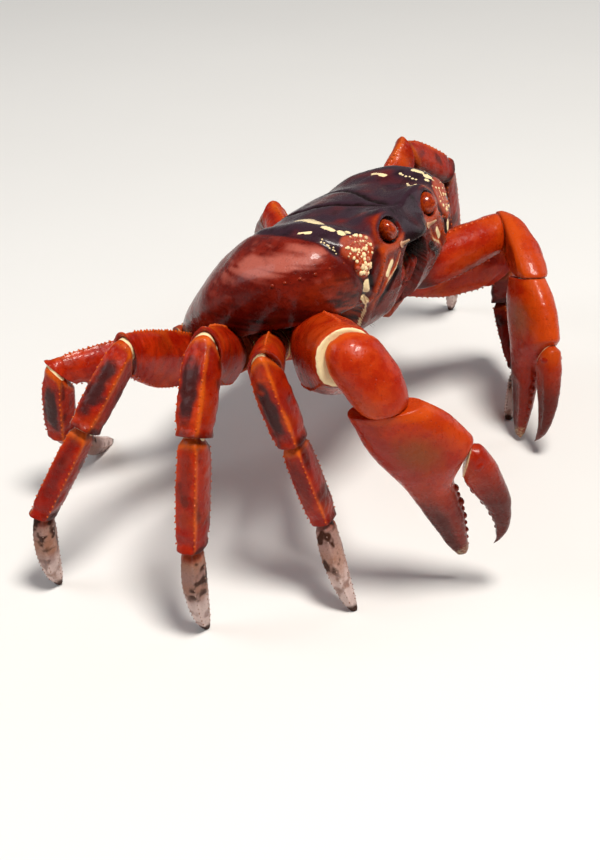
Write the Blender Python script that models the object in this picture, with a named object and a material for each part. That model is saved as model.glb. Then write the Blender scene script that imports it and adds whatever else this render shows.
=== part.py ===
# Christmas Island red crab (Gecarcoidea natalis), a still, life-size model.
# It stands tall on eight walking legs with its front raised and both claws hung in front.
# World axes: +X is the crab's left, -Y its front, +Z up, and the floor is z = 0.
# Every size below is in millimetres, and meshes are scaled to metres as they are made.
import math

import bmesh
import bpy
from mathutils import Matrix, Vector

MM = 0.001
GAP = 0.3                     # air kept between two nodes that touch
SIDES = {"left": 1, "right": -1}

# Body: the driving size is the carapace's width of 110 mm. The body is tipped with its front up.
BODY_HEIGHT = 78.8            # middle of the body above the floor
FRONT_UP = math.radians(20.4)
LEFT_DOWN = math.radians(5.7)
BODY = (Matrix.Translation((0, 0, BODY_HEIGHT))
        @ Matrix.Rotation(-FRONT_UP, 4, "X") @ Matrix.Rotation(LEFT_DOWN, 4, "Y"))
BRANCHIAL_FLOOR = 12.0        # how far the carapace wall hangs under its widest line
FACE_START = 34.0             # from here forward the shell is pressed flat into a face
FACE_PRESS = 0.36

# Sections of the carapace from the front to the rear:
# forward place, half width, height of the widest line, rise above it, fall below it
CARAPACE_SECTIONS = (
    (43.0, 0.0, -2.0, 0.0, 0.0),
    (42.0, 13.0, -2.0, 6.0, 3.5),
    (39.5, 27.0, -1.5, 10.0, 8.0),
    (34.0, 39.0, -0.5, 13.2, 15.0),
    (26.0, 49.0, 0.0, 16.5, 24.0),
    (16.0, 54.0, 0.0, 18.5, 27.0),
    (5.0, 55.0, -0.5, 18.5, 24.0),
    (-8.0, 53.5, -3.0, 16.0, 22.0),
    (-21.0, 46.0, -7.0, 11.5, 21.0),
    (-33.0, 35.0, -11.0, 7.0, 19.0),
    (-41.0, 24.5, -14.5, 4.5, 14.0),
    (-43.0, 17.5, -15.5, 3.0, 9.0),
    (-43.6, 0.0, -16.0, 0.0, 0.0),
)
# Sections of the thorax under it, in the same five terms
THORAX_SECTIONS = (
    (31.0, 0.0, -13.0, 2.0, 2.0),
    (29.0, 12.0, -13.0, 5.0, 3.0),
    (20.0, 22.0, -14.0, 8.0, 7.0),
    (12.0, 31.0, -13.0, 8.0, 16.5),
    (-8.0, 31.0, -15.0, 8.0, 15.0),
    (-25.0, 25.0, -18.0, 8.0, 12.0),
    (-36.0, 15.0, -22.0, 8.0, 8.0),
    (-39.0, 0.0, -23.0, 4.0, 4.0),
)
# How far the middle of the back is sunk between the two swellings: forward place, depth
SINK = ((-44.0, 0.0), (-30.0, 2.2), (-18.0, 3.3), (-8.0, 3.6), (4.0, 3.8), (10.0, 4.0), (17.0, 4.8),
        (22.0, 5.8), (27.0, 6.4), (32.0, 6.0), (35.0, 4.6), (39.0, 2.0), (43.0, 0.0))
BROW_FORWARD = 39.0           # over the eyes the back keeps its height
BROW_HALF = 11.0
BROW_LENGTH = 9.0
BROW_SHARE = 0.95
# Grooves pressed into the shell, mirrored to both sides: depth, half width, then places
# as (side, forward, up) on the shell before its middle is sunk
GROOVES = (
    (0.9, 1.1, ((0.6, 38.0, 9.7), (0.8, 31.0, 14.3), (3.0, 25.0, 16.7), (6.5, 19.0, 18.0),
                (9.0, 14.0, 18.4), (11.5, 8.5, 18.1), (12.5, 1.0, 17.0), (10.5, -8.0, 12.9),
                (13.0, -15.0, 9.0))),
    (1.0, 1.9, ((22.0, -14.0, 8.5), (30.0, -4.0, 13.2), (36.0, 5.0, 14.6), (39.5, 12.0, 14.1),
                (41.5, 19.5, 12.5), (41.5, 25.0, 10.6), (41.0, 29.5, 7.5), (39.5, 32.6, 4.0),
                (36.5, 35.0, -2.4), (34.0, 35.2, -7.5), (33.0, 33.0, -11.0), (28.5, 29.5, -16.0))),
)

# Leg roots in the body's frame: side, forward, up
ROOTS = {"claw": (34, 13, -22), "leg_1": (41, 0.5, -21), "leg_2": (41, -13, -21),
         "leg_3": (38, -27.8, -20.6), "leg_4": (30, -41, -17)}
LEGS = ("leg_1", "leg_2", "leg_3", "leg_4")

# The stance: world places of each knee, carpus end, propodus end and foot
STANCE = {
    ("right", "leg_1"): ((-80, -23, 80), (-79, -31, 57), (-75, -39, 29), (-77, -50, 0)),
    ("right", "leg_2"): ((-83, -6, 83), (-99, -10, 64), (-107, -12, 32), (-103, -13, 0)),
    ("right", "leg_3"): ((-80, 23, 74), (-97, 28, 56), (-107, 39, 29), (-103, 39, 0)),
    ("right", "leg_4"): ((-64, 59, 51), (-63, 61, 29), (-46, 66, 13), (-24, 68, 0)),
    ("left", "leg_1"): ((73, -44, 50), (78, -43, 32), (59, -57, 16), (48, -57, 0)),
    ("left", "leg_2"): ((75, -3, 84), (95.5, -11, 71.5), (106, -12, 35), (123, -7, 0)),
    ("left", "leg_3"): ((64, 45, 55.5), (82, 57, 40.5), (104, 67, 25), (117, 73, 0)),
    ("left", "leg_4"): ((42, 57, 32), (62, 64, 29), (82, 71, 18), (96, 77, 0)),
}
# Claws: elbow, wrist, the palm's direction, the side of the moving finger, and size
CLAWS = {
    "right": ((-73, -44.4, 84.8), (-72, -56, 70), (0.375, -0.524, -0.765),
              (0.142, -0.783, 0.606), 1.0),
    "left": ((62, -45, 67), (47, -61, 59), (-0.34, -0.275, -0.89),
             (-0.536, -0.72, 0.426), 0.9),
}
ELBOW_SHARE = 0.75            # how squarely the elbow's plane cuts the merus
WRIST_NORMAL = {"right": (0.07, -0.18, -0.98), "left": (-0.29, -0.18, -0.93)}
CARPUS_BULGE = (0.47, -0.69, 0.58)    # the way a claw's carpus bulges

# Sizes of the leg segments: rise and fall from the middle line, then half thickness.
# The merus is a deep blade that hangs well under its middle line.
MERUS_SIZE = {"leg_1": (6.4, 12.0, 5.0), "leg_2": (7.4, 10.0, 4.8), "leg_3": (7.0, 10.5, 4.6),
              "leg_4": (5.8, 7.2, 4.0)}
CARPUS_SIZE = {"leg_1": (5.4, 4.8, 4.3), "leg_2": (6.1, 5.4, 4.8), "leg_3": (5.8, 5.2, 4.5),
               "leg_4": (5.4, 5.0, 4.2)}
PROPODUS_SIZE = {"leg_1": (4.5, 4.5, 3.5), "leg_2": (5.2, 5.2, 4.0), "leg_3": (4.8, 4.8, 3.8),
                 "leg_4": (4.4, 4.4, 3.4)}
DACTYL_SIZE = {"leg_1": (3.8, 3.2), "leg_2": (4.0, 3.4), "leg_3": (3.8, 3.1), "leg_4": (3.3, 2.8)}

COLOURS = {
    "carapace": ((0.085, 0.008, 0.022), 0.28),
    "thorax": ((0.30, 0.03, 0.015), 0.45),
    "limb": ((0.50, 0.035, 0.008), 0.32),
    "claw": ((0.55, 0.05, 0.008), 0.28),
    "foot": ((0.34, 0.20, 0.14), 0.5),
    "joint": ((0.60, 0.38, 0.14), 0.55),
    "eye": ((0.55, 0.09, 0.01), 0.12),
    "mouth": ((0.16, 0.012, 0.01), 0.4),
}


# Scene helpers
def clear_scene():
    for thing in list(bpy.data.objects):
        bpy.data.objects.remove(thing, do_unlink=True)


def new_collection(name):
    collection = bpy.data.collections.new(name)
    bpy.context.scene.collection.children.link(collection)
    return collection


def material(name):
    found = bpy.data.materials.get(name)
    if found:
        return found
    colour, roughness = COLOURS[name]
    made = bpy.data.materials.new(name)
    made.use_nodes = True
    shader = made.node_tree.nodes["Principled BSDF"]
    shader.inputs["Base Color"].default_value = (*colour, 1)
    shader.inputs["Roughness"].default_value = roughness
    shader.inputs["Metallic"].default_value = 0.0
    return made


def add_object(name, bm, finish, collection):
    """Turn a millimetre bmesh into a named object in metres."""
    bmesh.ops.recalc_face_normals(bm, faces=bm.faces)
    bmesh.ops.scale(bm, vec=(MM, MM, MM), verts=bm.verts)
    mesh = bpy.data.meshes.new(name)
    bm.to_mesh(mesh)
    bm.free()
    mesh.shade_smooth()
    mesh.materials.append(material(finish))
    thing = bpy.data.objects.new(name, mesh)
    collection.objects.link(thing)
    return thing


# Shape helpers
def between(stations, place, column):
    """Smooth value of one column of a station table whose first column falls from row to row."""
    rows = sorted(stations)
    if place <= rows[0][0]:
        return rows[0][column]
    if place >= rows[-1][0]:
        return rows[-1][column]
    index = max(i for i, row in enumerate(rows) if row[0] <= place)
    low, high = rows[index], rows[index + 1]
    span = high[0] - low[0]

    def slope(k):
        if k <= 0 or k >= len(rows) - 1:
            return 0.0
        before = (rows[k][column] - rows[k - 1][column]) / (rows[k][0] - rows[k - 1][0])
        after = (rows[k + 1][column] - rows[k][column]) / (rows[k + 1][0] - rows[k][0])
        return 0.0 if before * after <= 0 else 2 * before * after / (before + after)

    start = slope(index) if index else (high[column] - low[column]) / span
    stop = slope(index + 1) if index + 2 < len(rows) else (high[column] - low[column]) / span
    t = (place - low[0]) / span
    return ((2 * t**3 - 3 * t**2 + 1) * low[column] + (t**3 - 2 * t**2 + t) * span * start
            + (3 * t**2 - 2 * t**3) * high[column] + (t**3 - t**2) * span * stop)


def power(value, exponent):
    return math.copysign(abs(value) ** exponent, value)


def loft(rings, tip_start=None, tip_end=None):
    """Skin a row of equal rings. An end is a fan to its tip, or a flat cap."""
    bm = bmesh.new()
    loops = [[bm.verts.new(point) for point in ring] for ring in rings]
    count = len(loops[0])
    for first, second in zip(loops, loops[1:]):
        for i in range(count):
            j = (i + 1) % count
            bm.faces.new((first[i], first[j], second[j], second[i]))
    for loop, tip in ((loops[0], tip_start), (loops[-1], tip_end)):
        if tip is None:
            bm.faces.new(loop)
            continue
        point = bm.verts.new(tip)
        for i in range(count):
            bm.faces.new((loop[i], loop[(i + 1) % count], point))
    bmesh.ops.recalc_face_normals(bm, faces=bm.faces)
    return bm


def trim(bm, point, normal):
    """Keep what lies behind a plane, and close the cut."""
    geometry = bm.verts[:] + bm.edges[:] + bm.faces[:]
    cut = bmesh.ops.bisect_plane(bm, geom=geometry, dist=0.001, plane_co=point, plane_no=normal,
                                 clear_outer=True)
    edges = [item for item in cut["geom_cut"] if isinstance(item, bmesh.types.BMEdge)]
    rim = [edge for edge in edges if edge.is_boundary]
    if rim:
        bmesh.ops.holes_fill(bm, edges=rim, sides=0)


def frame_axes(start, end, toward):
    """Direction of a segment, its upper side and its thickness direction."""
    along = (end - start).normalized()
    upper = (toward - along * toward.dot(along)).normalized()
    return along, upper, along.cross(upper)


def limb_ring(start, end, toward, row, count, bow, edges):
    """One ring of a limb segment. Edges above 1 sharpen its two sides, below 1 square them."""
    along, upper, across = frame_axes(start, end, toward)
    share, high, low, thick = row
    middle = start + along * share * (end - start).length + upper * bow * 4 * share * (1 - share)
    ring = []
    for k in range(count):
        angle = 2 * math.pi * k / count
        rise = power(math.cos(angle), edges[0] if math.cos(angle) > 0 else edges[1])
        width = power(math.sin(angle), edges[0] if math.cos(angle) > 0 else edges[1])
        ring.append(middle + upper * rise * (high if rise > 0 else low) + across * width * thick)
    return ring


def limb(start, end, toward, stations, count=10, bow=0.0, edges=(1.0, 1.0)):
    """A limb segment: stations are (share of its length, upper, lower and thickness half sizes)."""
    rings = [limb_ring(start, end, toward, row, count, bow, edges) for row in stations[1:-1]]
    along = end - start
    ends = [start + along * share for share in (stations[0][0], stations[-1][0])]
    return loft(rings, ends[0], ends[1])


def limb_place(start, end, toward, stations, share, angle, bow=0.0):
    """A point on a limb segment's surface and the way out of it there."""
    along, upper, across = frame_axes(start, end, toward)
    high, low, thick = (between(stations, share, column) for column in (1, 2, 3))
    middle = start + along * share * (end - start).length + upper * bow * 4 * share * (1 - share)
    rise = math.cos(angle)
    out = upper * rise * (high if rise > 0 else low) + across * math.sin(angle) * thick
    return middle + out, (upper * rise * thick + across * math.sin(angle) * high).normalized()


def spine_row(forms, segment, angle, shares, radius, height, lean=0.35):
    """A row of spines along one side of a segment, leaning toward its far end."""
    start, end, toward, stations, bow = segment
    ahead = (end - start).normalized()
    for share in shares:
        place, out = limb_place(start, end, toward, stations, share, angle, bow)
        add_spine(forms, place, out + ahead * lean, radius, height)


def joint_planes(points):
    """The plane that parts each pair of neighbouring segments: its point and normal."""
    planes = []
    for before, here, after in zip(points, points[1:], points[2:]):
        normal = ((here - before).normalized() + (after - here).normalized()).normalized()
        planes.append((here, normal))
    return planes


def trim_ends(bm, plane_before, plane_after):
    """Cut a segment at its two joint planes, half the gap short of each."""
    if plane_before:
        point, normal = plane_before
        trim(bm, point + normal * GAP / 2, -normal)
    if plane_after:
        point, normal = plane_after
        trim(bm, point - normal * GAP / 2, normal)


def largest_piece(bm):
    """Drop every loose piece but the largest."""
    pending = set(bm.verts)
    pieces = []
    while pending:
        queue = [pending.pop()]
        piece = set(queue)
        while queue:
            for edge in queue.pop().link_edges:
                for vert in edge.verts:
                    if vert in pending:
                        pending.discard(vert)
                        piece.add(vert)
                        queue.append(vert)
        pieces.append(piece)
    pieces.sort(key=len)
    for piece in pieces[:-1]:
        bmesh.ops.delete(bm, geom=list(piece), context="VERTS")


def apply_modifiers(thing):
    """Replace an object's mesh by its evaluated mesh, keeping its largest piece."""
    graph = bpy.context.evaluated_depsgraph_get()
    mesh = bpy.data.meshes.new_from_object(thing.evaluated_get(graph))
    thing.modifiers.clear()
    bm = bmesh.new()
    bm.from_mesh(mesh)
    bmesh.ops.remove_doubles(bm, verts=bm.verts, dist=0.002 * MM)
    bmesh.ops.dissolve_degenerate(bm, edges=bm.edges, dist=0.002 * MM)
    largest_piece(bm)
    bm.to_mesh(mesh)
    bm.free()
    thing.data = mesh


def inflated(thing, distance):
    """A copy of an object's surface moved out by a distance in millimetres."""
    bm = bmesh.new()
    bm.from_mesh(thing.data)
    bm.normal_update()
    moves = [(vert, vert.normal * distance * MM) for vert in bm.verts]
    for vert, move in moves:
        vert.co += move
    mesh = bpy.data.meshes.new(thing.name + "_grown")
    bm.to_mesh(mesh)
    bm.free()
    return bpy.data.objects.new(mesh.name, mesh)


def as_cutter(thing, collection=None):
    """Keep an object only as a cutter, in the cutters' collection."""
    if collection:
        collection.objects.link(thing)
    thing.hide_render = True
    thing.display_type = "WIRE"


def cut_away(thing, cutters):
    """Cut an object clear of the cutters."""
    for cutter in cutters:
        change = thing.modifiers.new("cut", "BOOLEAN")
        change.operation = "DIFFERENCE"
        change.solver = "EXACT"
        change.object = cutter
    apply_modifiers(thing)


def unite(thing, forms):
    """Join every object of a collection to a thing, and remove those objects."""
    change = thing.modifiers.new("forms", "BOOLEAN")
    change.operation = "UNION"
    change.solver = "EXACT"
    change.operand_type = "COLLECTION"
    change.collection = forms
    apply_modifiers(thing)
    for form in list(forms.objects):
        bpy.data.objects.remove(form, do_unlink=True)


def add_spine(forms, base, direction, radius, height, sides=4):
    """A cone set a little into the surface at its base point."""
    bm = bmesh.new()
    sunk = height * 0.35
    bmesh.ops.create_cone(bm, cap_ends=True, segments=sides, radius1=radius, radius2=0,
                          depth=height + sunk)
    turn = direction.normalized().to_track_quat("Z", "Y").to_matrix().to_4x4()
    place = Matrix.Translation(base + direction.normalized() * (height - sunk) / 2) @ turn
    bmesh.ops.transform(bm, matrix=place, verts=bm.verts)
    add_object("spine", bm, "foot", forms)


# Body
def body_point(side, forward, up):
    return BODY @ Vector((side, -forward, up))


def sunk_depth(side, forward, lift):
    """How far the back is sunk at a place. It stays high over the eyes and on the two swellings."""
    beside = (abs(side) - EYE_PLACE[0]) / BROW_HALF
    ahead = (forward - BROW_FORWARD) / BROW_LENGTH
    brow = math.exp(-beside ** 2 - ahead ** 2)
    share = smooth_step(37.0, 20.0, abs(side)) * smooth_step(0.0, 0.35, lift) * (1 - BROW_SHARE * brow)
    return between(SINK, forward, 1) * share


def body_shell(sections, columns, rows, shape=None, squareness=0.86):
    """A closed shell from body sections. The shape function may move each body place."""
    bm = bmesh.new()
    bmesh.ops.create_uvsphere(bm, u_segments=columns, v_segments=rows, radius=1.0)
    front, rear = sections[0][0], sections[-1][0]
    for vert in bm.verts:
        polar = math.acos(max(-1.0, min(1.0, vert.co.z)))
        turn = math.atan2(vert.co.y, vert.co.x)
        share = polar / math.pi
        forward = front + (rear - front) * (1 - math.cos(polar)) / 2
        forward = forward + (front + (rear - front) * share - forward) * 0.35
        half, line, rise, fall = (between(sections, forward, column) for column in (1, 2, 3, 4))
        lift = power(math.sin(turn), squareness)
        place = Vector((half * power(math.cos(turn), squareness), forward,
                        line + lift * (rise if lift > 0 else fall)))
        if shape:
            place = shape(place, sunk_depth(place.x, forward, lift))
        vert.co = body_point(*place)
    return bm


def smooth_step(low, high, value):
    share = max(0.0, min(1.0, (value - low) / (high - low)))
    return share * share * (3 - 2 * share)


def wall_foot(side, forward):
    """Height of the carapace wall's lower edge. It hangs deep beside the mouth."""
    shallow = between(CARAPACE_SECTIONS, forward, 2) - BRANCHIAL_FLOOR * between(
        ((-44, 0.55), (-20, 0.9), (0, 1.0), (30, 1.1), (44, 1.1)), forward, 1)
    deep = smooth_step(32.0, 19.0, abs(side)) * smooth_step(4.0, 18.0, forward)
    return shallow + (-27.0 - shallow) * deep


def groove_depth(place):
    """How far the shell is pressed in at a body place."""
    here = Vector((abs(place.x), place.y, place.z))
    total = 0.0
    for depth, width, path in GROOVES:
        nearest = min(segment_distance(here, Vector(a), Vector(b)) for a, b in zip(path, path[1:]))
        total += depth * math.exp(-(nearest / width) ** 2)
    return total


def segment_distance(point, start, end):
    along = end - start
    share = max(0.0, min(1.0, (point - start).dot(along) / along.length_squared))
    return (point - start - along * share).length


BODY_CENTRE = Vector((0, 0, -6))


def carapace_shape(place, sunk):
    """The shell's own form: grooves, sunk back, flat face and wall edge."""
    inward = (BODY_CENTRE - place).normalized()
    place = place + inward * groove_depth(place)
    place.z -= sunk
    if place.y > FACE_START:
        place.y = FACE_START + (place.y - FACE_START) * FACE_PRESS
    side, forward, up = EYE_PLACE
    reach = Vector((abs(place.x) - side, place.z - up)).length
    near_face = smooth_step(28.0, 34.0, place.y)
    beside, above = place.x / LOBE_HALF[0], (place.z - LOBE_UP) / LOBE_HALF[1]
    place.y += ORBIT_RIM * math.exp(-(reach / ORBIT_REACH) ** 2) * near_face
    place.y += LOBE_AHEAD * math.exp(-beside ** 2 - above ** 2) * near_face
    place.z = max(place.z, wall_foot(place.x, place.y))
    return place


SHELL_CLEARANCE = 0.4         # extra room at the shell's sharp lower edge
CUT_MARGIN = 0.1              # extra room where two rounded surfaces meet
MOUTH_PLACE = (0, 26.8, -16.4)        # middle of the mouth opening
MOUTH_SIZE = (10.8, 6.0, 16.8)        # half width, depth and length of its cutter
MOUTH_SQUARENESS = 0.6
MOUTH_LEAN = math.radians(43)         # the mouth faces forward and down
ORBIT_RIM = 2.8               # how far the shell swells forward around each eye
ORBIT_REACH = 7.5
LOBE_AHEAD = 3.4              # the lobe between the eyes overhangs the mouth
LOBE_UP = -0.6
LOBE_HALF = (7.0, 4.4)        # its reach to each side, and up and down
EYE_PLACE = (15.2, 36.6, 3.9)         # side, forward, up in the body's frame
EYE_TURN = math.radians(24)           # the sockets look a little outward
SOCKET_RADII = (6.4, 6.0, 4.6)
SOCKET_AHEAD = 3.4            # the sockets' middles lie in front of the eyes'
EYE_RADII = (3.2, 3.8, 3.5)
HEPATIC_PLACE = (33.5, 35.0, 2.5)     # middle of the patch of large granules
HEPATIC_COUNT = 11
HEPATIC_REACH = 5.6
GOLDEN_ANGLE = math.radians(137.5)    # spreads the granules evenly
GRANULE = 0.95                # radius of each
CORNER_TEETH = (33.5, 29.5, 25.0, 20.0, 14.5)     # forward places along the shell's front corner
CORNER_TOOTH = 0.8


def body_turn(sign, yaw, lean=0.0):
    """Rotation that takes a shape's own axes to the body's, turned outward and leant back."""
    return (BODY.to_3x3().to_4x4() @ Matrix.Rotation(sign * yaw, 4, "Z") @ Matrix.Rotation(lean, 4, "X"))


def ball(place, turn, radii, columns, rows, squareness=1.0):
    """An ellipsoid, or a rounded block when its squareness is below 1."""
    bm = bmesh.new()
    bmesh.ops.create_uvsphere(bm, u_segments=columns, v_segments=rows, radius=1.0)
    for vert in bm.verts:
        vert.co = [power(value, squareness) for value in vert.co]
    matrix = Matrix.Translation(place) @ turn @ Matrix.Diagonal((*radii, 1))
    bmesh.ops.transform(bm, matrix=matrix, verts=bm.verts)
    return bm


def make_carapace(collection, cutters):
    bm = body_shell(CARAPACE_SECTIONS, 48, 30, carapace_shape)
    carapace = add_object("carapace", bm, "carapace", collection)
    around_shell = inflated(carapace, GAP + SHELL_CLEARANCE)
    as_cutter(around_shell, cutters)
    side, forward, up = EYE_PLACE
    for name, sign in SIDES.items():
        place = body_point(sign * side, forward + SOCKET_AHEAD, up)
        socket = ball(place, body_turn(sign, EYE_TURN), SOCKET_RADII, 16, 10)
        cutter = add_object("socket_" + name, socket, "joint", cutters)
        as_cutter(cutter)
        cut_away(carapace, [cutter])
    turn = body_turn(1, 0.0, MOUTH_LEAN)
    mouth = ball(body_point(*MOUTH_PLACE), turn, MOUTH_SIZE, 24, 14, MOUTH_SQUARENESS)
    cutter = add_object("mouth_opening", mouth, "mouth", cutters)
    as_cutter(cutter)
    cut_away(carapace, [cutter])
    around_openings = inflated(carapace, GAP + CUT_MARGIN)
    as_cutter(around_openings, cutters)
    return carapace, around_shell, around_openings


def shell_bumps(carapace, collection):
    """Large granules on the cheeks and blunt teeth along the shell's front corner."""
    bumps = []
    side, forward, up = HEPATIC_PLACE
    for sign in SIDES.values():
        for index in range(HEPATIC_COUNT):
            reach = HEPATIC_REACH * math.sqrt((index + 0.5) / HEPATIC_COUNT)
            angle = index * GOLDEN_ANGLE
            across = side + reach * math.cos(angle) * 0.8
            aim = Vector((sign * across, forward, up + reach * math.sin(angle)))
            bumps.append((aim, GRANULE))
        for place in CORNER_TEETH:
            half = between(CARAPACE_SECTIONS, place, 1)
            bumps.append((Vector((sign * half, place, 2.0)), CORNER_TOOTH))
    for index, (aim, radius) in enumerate(bumps):
        found = surface_hit(carapace, body_point(0, aim.y * 0.6, -2), body_point(*aim))
        bm = ball(found, Matrix.Identity(4), (radius, radius, radius), 6, 3)
        add_object("bump_%d" % index, bm, "carapace", collection)


def surface_hit(thing, inside, toward):
    """Where a ray from inside a shell leaves it, in millimetres."""
    direction = (toward - inside).normalized()
    hit, place, _, _ = thing.ray_cast(inside * MM, direction)
    return place / MM if hit else toward


def make_eye(name, sign, collection, grown):
    side, forward, up = EYE_PLACE
    bm = ball(body_point(sign * side, forward, up), body_turn(sign, EYE_TURN), EYE_RADII, 14, 9)
    eye = add_object("eye_" + name, bm, "eye", collection)
    cut_away(eye, grown)


def make_thorax(collection, grown):
    bm = body_shell(THORAX_SECTIONS, 24, 12)
    thorax = add_object("thorax", bm, "thorax", collection)
    cut_away(thorax, grown)
    return thorax


def make_abdomen(collection, grown):
    """The narrow tail folded under the body, from the carapace's rear edge to the middle."""
    path = ((-43, 0, -24), (-40, 0, -30), (-30, 0, -33), (-16, 0, -33.5), (-2, 0, -33.5), (6, 0, -32))
    widths = (10.5, 11.0, 9.0, 7.0, 4.5, 2.0)
    rings = []
    for (forward, side, up), half in zip(path, widths):
        ring = []
        for k in range(12):
            angle = 2 * math.pi * k / 12
            ring.append(body_point(side + half * math.cos(angle), forward, up + 3.6 * math.sin(angle)))
        rings.append(ring)
    bm = loft(rings, body_point(0, -46, -23), body_point(0, 8.5, -31))
    abdomen = add_object("abdomen", bm, "thorax", collection)
    cut_away(abdomen, grown)


MAXILLIPED_LEAN = math.radians(45)
MAXILLIPED_PLACE = (5.2, 24.6, -18.4)
MAXILLIPED_RADII = (4.8, 2.6, 11.5)
PALP_PLACE = (4.2, 30.4, -14.0)
PALP_RADII = (2.0, 2.4, 4.2)


def make_mouthparts(name, sign, collection, grown):
    """One outer maxilliped: a long plate that closes half of the mouth, with its palp folded on it."""
    turn = body_turn(sign, 0.0, MAXILLIPED_LEAN)
    side, forward, up = MAXILLIPED_PLACE
    bm = ball(body_point(sign * side, forward, up), turn, MAXILLIPED_RADII, 14, 10)
    plate = add_object("maxilliped_" + name, bm, "mouth", collection)
    forms = bpy.data.collections["forms"]
    side, forward, up = PALP_PLACE
    bm = ball(body_point(sign * side, forward, up), turn, PALP_RADII, 8, 6)
    add_object("palp", bm, "mouth", forms)
    unite(plate, forms)
    cut_away(plate, grown)


def make_antenna(name, sign, collection, grown):
    start = body_point(sign * 10.2, 35.0, -3.4)
    end = body_point(sign * 10.8, 41.5, -1.2)
    stations = ((-0.1, 0, 0, 0), (0.0, 1.6, 1.6, 1.6), (0.5, 1.3, 1.3, 1.3), (0.56, 0.7, 0.7, 0.7),
                (0.97, 0.4, 0.4, 0.4), (1.0, 0, 0, 0))
    bm = limb(start, end, Vector((0, 0, 1)), stations, count=7)
    antenna = add_object("antenna_" + name, bm, "mouth", collection)
    cut_away(antenna, grown)


# Limbs
CLAW_BASE_DROP = 6.0          # the claws' bases start low, behind the mouth


def root_point(side, limb_name):
    across, forward, up = ROOTS[limb_name]
    return body_point(SIDES[side] * across, forward, up)


def root_start(side, limb_name):
    """Where a limb's base starts, well inside the thorax."""
    across, forward, up = ROOTS[limb_name]
    drop = CLAW_BASE_DROP if limb_name == "claw" else 0.0
    return body_point(SIDES[side] * across * 0.5, forward * 0.8, up - drop)


def make_base(name, side, limb_name, next_point, half, collection, grown):
    """The short coxa and ischium that carry a limb."""
    start, root = root_start(side, limb_name), root_point(side, limb_name)
    stations = ((0.0, 0, 0, 0), (0.05, half * 0.9, half * 0.9, half * 0.8), (0.5, half, half, half * 0.85),
                (0.8, half * 0.95, half * 0.95, half * 0.8), (1.0, half * 0.85, half * 0.85, half * 0.7),
                (1.15, half * 0.5, half * 0.5, half * 0.4), (1.2, 0, 0, 0))
    bm = limb(start, root, Vector((0, 0, 1)), stations)
    trim_ends(bm, None, joint_planes((start, root, next_point))[0])
    base = add_object(name, bm, "joint", collection)
    cut_away(base, grown)


# Shapes of the leg segments, each row as shares: of the length, rise, fall and thickness
MERUS_STATIONS = (
    (-0.12, 0, 0, 0), (-0.08, 0.5, 0.35, 0.6), (0.04, 0.75, 0.6, 0.85), (0.25, 0.95, 0.92, 1.0),
    (0.5, 1.0, 1.0, 1.0), (0.75, 0.95, 0.85, 1.0), (0.98, 0.85, 0.6, 0.95), (1.1, 0.5, 0.35, 0.6),
    (1.15, 0, 0, 0))
CARPUS_STATIONS = (
    (-0.26, 0, 0, 0), (-0.2, 0.5, 0.5, 0.5), (0.0, 0.92, 0.85, 0.9), (0.35, 1.05, 0.95, 1.0),
    (0.7, 1.0, 1.0, 1.0), (1.0, 0.88, 0.92, 0.92), (1.12, 0.5, 0.5, 0.6), (1.18, 0, 0, 0))
PROPODUS_STATIONS = (
    (-0.16, 0, 0, 0), (-0.1, 0.5, 0.5, 0.5), (0.05, 0.9, 0.88, 0.9), (0.4, 1.0, 1.0, 1.0),
    (0.8, 0.95, 0.95, 0.98), (1.0, 0.86, 0.86, 0.92), (1.08, 0.5, 0.5, 0.6), (1.12, 0, 0, 0))
DACTYL_STATIONS = (
    (-0.1, 0, 0, 0), (-0.04, 0.5, 0.5, 0.5), (0.08, 0.9, 0.9, 0.9), (0.3, 1.0, 1.0, 1.0),
    (0.55, 0.88, 0.88, 0.88), (0.8, 0.64, 0.64, 0.64), (0.97, 0.32, 0.32, 0.36), (1.04, 0, 0, 0))
DACTYL_BOW = 1.8              # how far the middle of a dactyl bends outward
BLADE = (1.15, 0.95)          # a sharp upper edge, a rounder lower one
SQUARED = (0.78, 0.78)
CLAW_MERUS_STATIONS = (
    (-0.16, 0, 0, 0), (-0.1, 0.5, 0.6, 0.5), (0.04, 0.8, 0.95, 0.85), (0.3, 1.0, 1.12, 1.0),
    (0.6, 1.0, 1.05, 1.0), (0.85, 0.94, 0.82, 0.97), (1.0, 0.88, 0.66, 0.9), (1.12, 0.7, 0.5, 0.7),
    (1.2, 0, 0, 0))
CLAW_MERUS_EDGES = (0.95, 0.8)        # a fuller lower side
CLAW_CARPUS_STATIONS = (
    (-0.36, 0, 0, 0), (-0.3, 0.42, 0.5, 0.45), (-0.14, 0.74, 0.82, 0.78), (0.15, 0.98, 1.0, 1.0),
    (0.55, 1.0, 1.0, 1.0), (0.9, 0.86, 0.95, 0.9), (1.2, 0.6, 0.8, 0.65), (1.4, 0.35, 0.5, 0.4),
    (1.5, 0, 0, 0))
CLAW_BASE_HALF = 6.2
CLAW_MERUS_SIZE = {"right": (9.5, 12.8, 9.8), "left": (7.6, 6.9, 7.4)}
CLAW_CARPUS_SIZE = {"right": (10.4, 6.6, 8.4), "left": (8.8, 5.0, 7.2)}


def scaled(stations, rise, fall, thick):
    return [(share, high * rise, low * fall, wide * thick) for share, high, low, wide in stations]


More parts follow.
